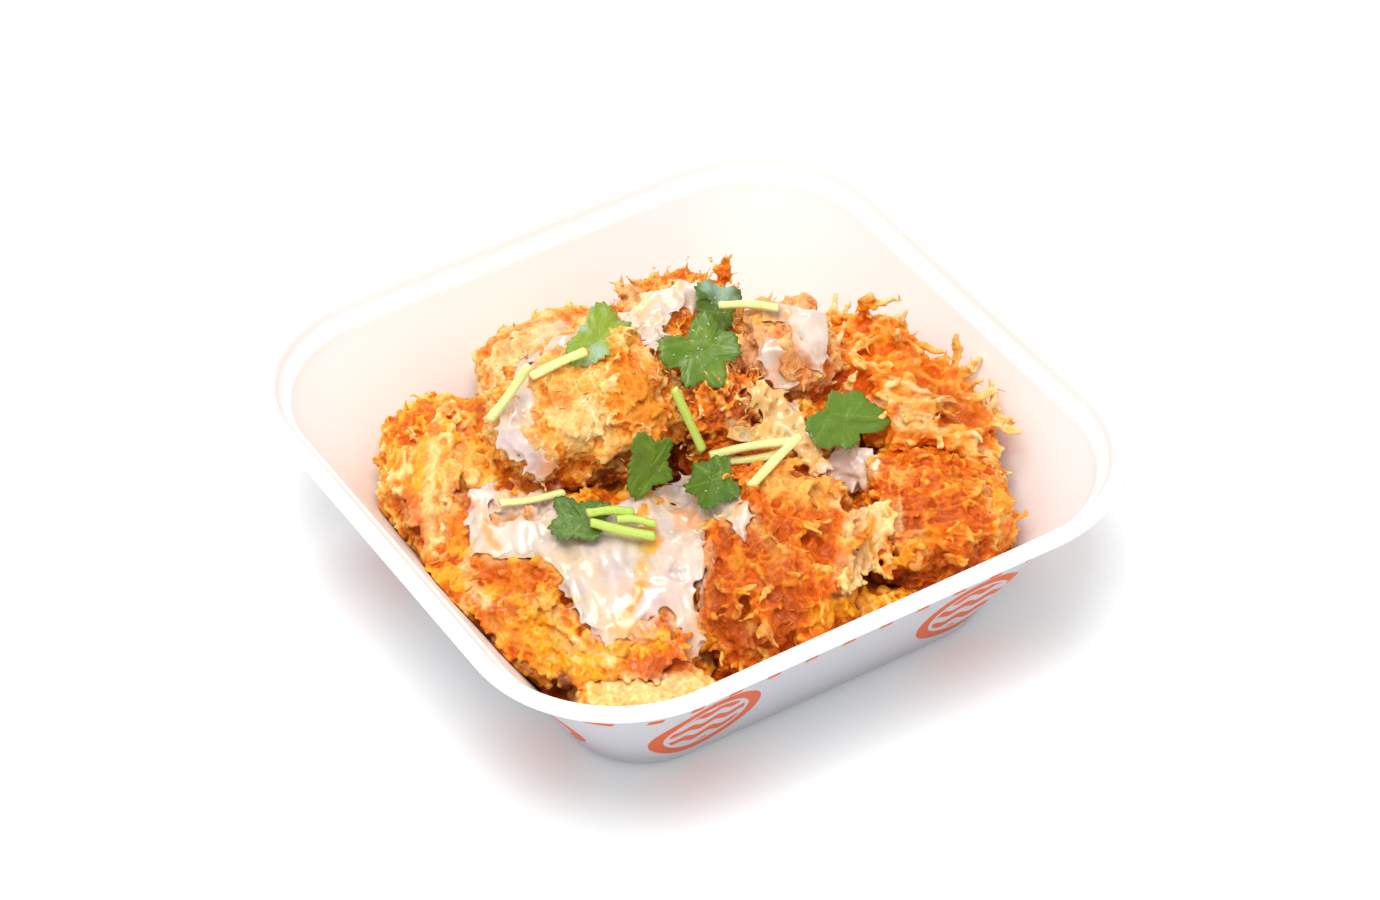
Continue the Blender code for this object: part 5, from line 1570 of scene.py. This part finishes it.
def bowl_rings():
    """Rings of (half side, corner, height) from the foot up, over the lip and down to the floor inside."""
    foot = [(FOOT - inset, FOOT_CORNER - inset, z) for inset, z in FOOT_RINGS]
    lip = [(RIM - inset, RIM_CORNER - inset, TOP - drop) for inset, drop in LIP_RINGS]
    floor = [(INNER_LOW[0] - inset, INNER_LOW[1] - inset, FLOOR_THICK + z) for inset, z in FLOOR_RINGS]
    wall_end = (WALL_HALF, RIM_CORNER - WALL_INSET, TOP - WALL_DROP)
    outer = curve_through(foot, 3) + straight_rings(foot[-1], wall_end, WALL_STEPS)
    inner = straight_rings(lip[-1], floor[0], INNER_STEPS) + curve_through(floor, 4)[1:]
    return outer, curve_through(lip, 4), inner


def ring_points(half, corner, z):
    """One rounded square of points, counter-clockwise."""
    made = []
    for quarter, (sx, sy) in enumerate([(1, 1), (-1, 1), (-1, -1), (1, -1)]):
        for step in range(CORNER_STEPS):
            angle = (quarter + step / (CORNER_STEPS - 1)) * math.pi / 2
            made.append((sx * (half - corner) + corner * math.cos(angle),
                         sy * (half - corner) + corner * math.sin(angle), z))
    return made


def build_bowl():
    """The moulded bowl, with each point's place on its wall kept for the print."""
    outer, lip, inner = bowl_rings()
    rings = outer + lip + inner
    count = CORNER_STEPS * 4
    points = [point for ring in rings for point in ring_points(*ring)]
    points = np.array(points + [(0, 0, 0.0), (0, 0, FLOOR_THICK)])
    row = np.concatenate([np.repeat(np.arange(len(rings)), count), [0, len(rings)]])
    outside = row < len(outer)
    inside_from = len(outer) + LIP_END_ROW
    inside = smooth_step(row.astype(float), inside_from, inside_from + INSIDE_FADE_ROWS)
    tone = mixed(plain_tone(LIP_COLOUR, len(points)), linear(INSIDE_COLOUR), inside)
    # Painted shade: the outer wall takes the darker outside colour
    tone[outside] = linear(OUTSIDE_SHADED_COLOUR)
    tone = tone * (1 + 0.006 * layered(points, 30.0, 2, 5))[:, None]
    tris = np.array(tube_faces(len(rings), count))
    piece = add_piece("bowl_moulding", points, tris, tone, bowl_material(), "bowl", "bowl")
    x, y, z = points.T
    across = np.where(np.abs(y) >= np.abs(x), x * np.sign(y), y * np.sign(x))
    place = np.stack([across, z, outside], axis=1).astype(np.float32)
    kept = piece.data.attributes.new("print_place", "FLOAT_VECTOR", "POINT")
    kept.data.foreach_set("vector", place.ravel())


build_bowl()


# Floor, camera and light


# Half side of the floor sheet and its depth under the bowl, in metres
FLOOR_SIDE, FLOOR_DEPTH = 3.0, 0.0002
# Light that the floor sheet gives off by itself, which keeps the shadow narrow
FLOOR_GLOW = 0.07


def build_floor():
    corners = [(-1, -1, 0), (1, -1, 0), (1, 1, 0), (-1, 1, 0)]
    points = np.array(corners, float) * FLOOR_SIDE
    mesh = mesh_of(points, np.array([(0, 1, 2), (0, 2, 3)]), "floor")
    made = bpy.data.materials.new("plain_floor")
    made.use_nodes = True
    set_inputs(made.node_tree.nodes["Principled BSDF"], Base_Color=(0.95, 0.98, 0.98, 1), Roughness=0.9,
               Specular_IOR_Level=0.1, Emission_Color=(1, 1, 1, 1), Emission_Strength=FLOOR_GLOW)
    mesh.materials.append(made)
    floor = linked("floor", mesh)
    floor.location.z = -FLOOR_DEPTH


def build_camera():
    """The photograph's camera."""
    camera = linked("camera", bpy.data.cameras.new("camera"))
    camera.data.sensor_width = SENSOR
    camera.data.lens = EYE_FOCAL / PICTURE[0] * SENSOR
    camera.data.clip_start = 0.05
    camera.data.clip_end = 20.0
    turn = Matrix((EYE_RIGHT, EYE_UP, EYE_BACK)).transposed().to_4x4()
    turn.translation = Vector(EYE * MM)
    camera.matrix_world = turn
    bpy.context.scene.camera = camera


def add_light(name, place, target, size, power):
    """A rectangular lamp at a place in metres, turned to a target."""
    light = bpy.data.lights.new(name, "AREA")
    light.shape = "RECTANGLE"
    light.size, light.size_y = size
    light.energy = power
    lamp = linked(name, light)
    lamp.location = place
    lamp.rotation_mode = "QUATERNION"
    lamp.rotation_quaternion = (Vector(target) - Vector(place)).to_track_quat("-Z", "Y")


# Lamps: name, place and target in metres, size in metres, power in watts
LAMPS = [
    ("top", (-0.27, -0.30, 1.30), (0, 0, 0.03), (0.75, 0.65), 13.0),
    ("back", (0.34, 0.60, 0.75), (0, 0, 0.04), (0.30, 0.16), 1.8),
    ("front", (-0.50, -0.60, 0.85), (0, 0, 0.03), (0.45, 0.35), 0.8),
]
WORLD_STRENGTH = 0.56


def build_light():
    """Soft studio light: the world, a broad lamp above, and weak ones behind and in front."""
    world = bpy.data.worlds.new("studio")
    world.use_nodes = True
    set_inputs(world.node_tree.nodes["Background"], Color=(1.0, 0.99, 0.98, 1), Strength=WORLD_STRENGTH)
    bpy.context.scene.world = world
    for lamp in LAMPS:
        add_light(*lamp)
    bpy.context.scene.view_settings.view_transform = "Standard"


build_floor()
build_camera()
build_light()

bpy.context.view_layer.update()
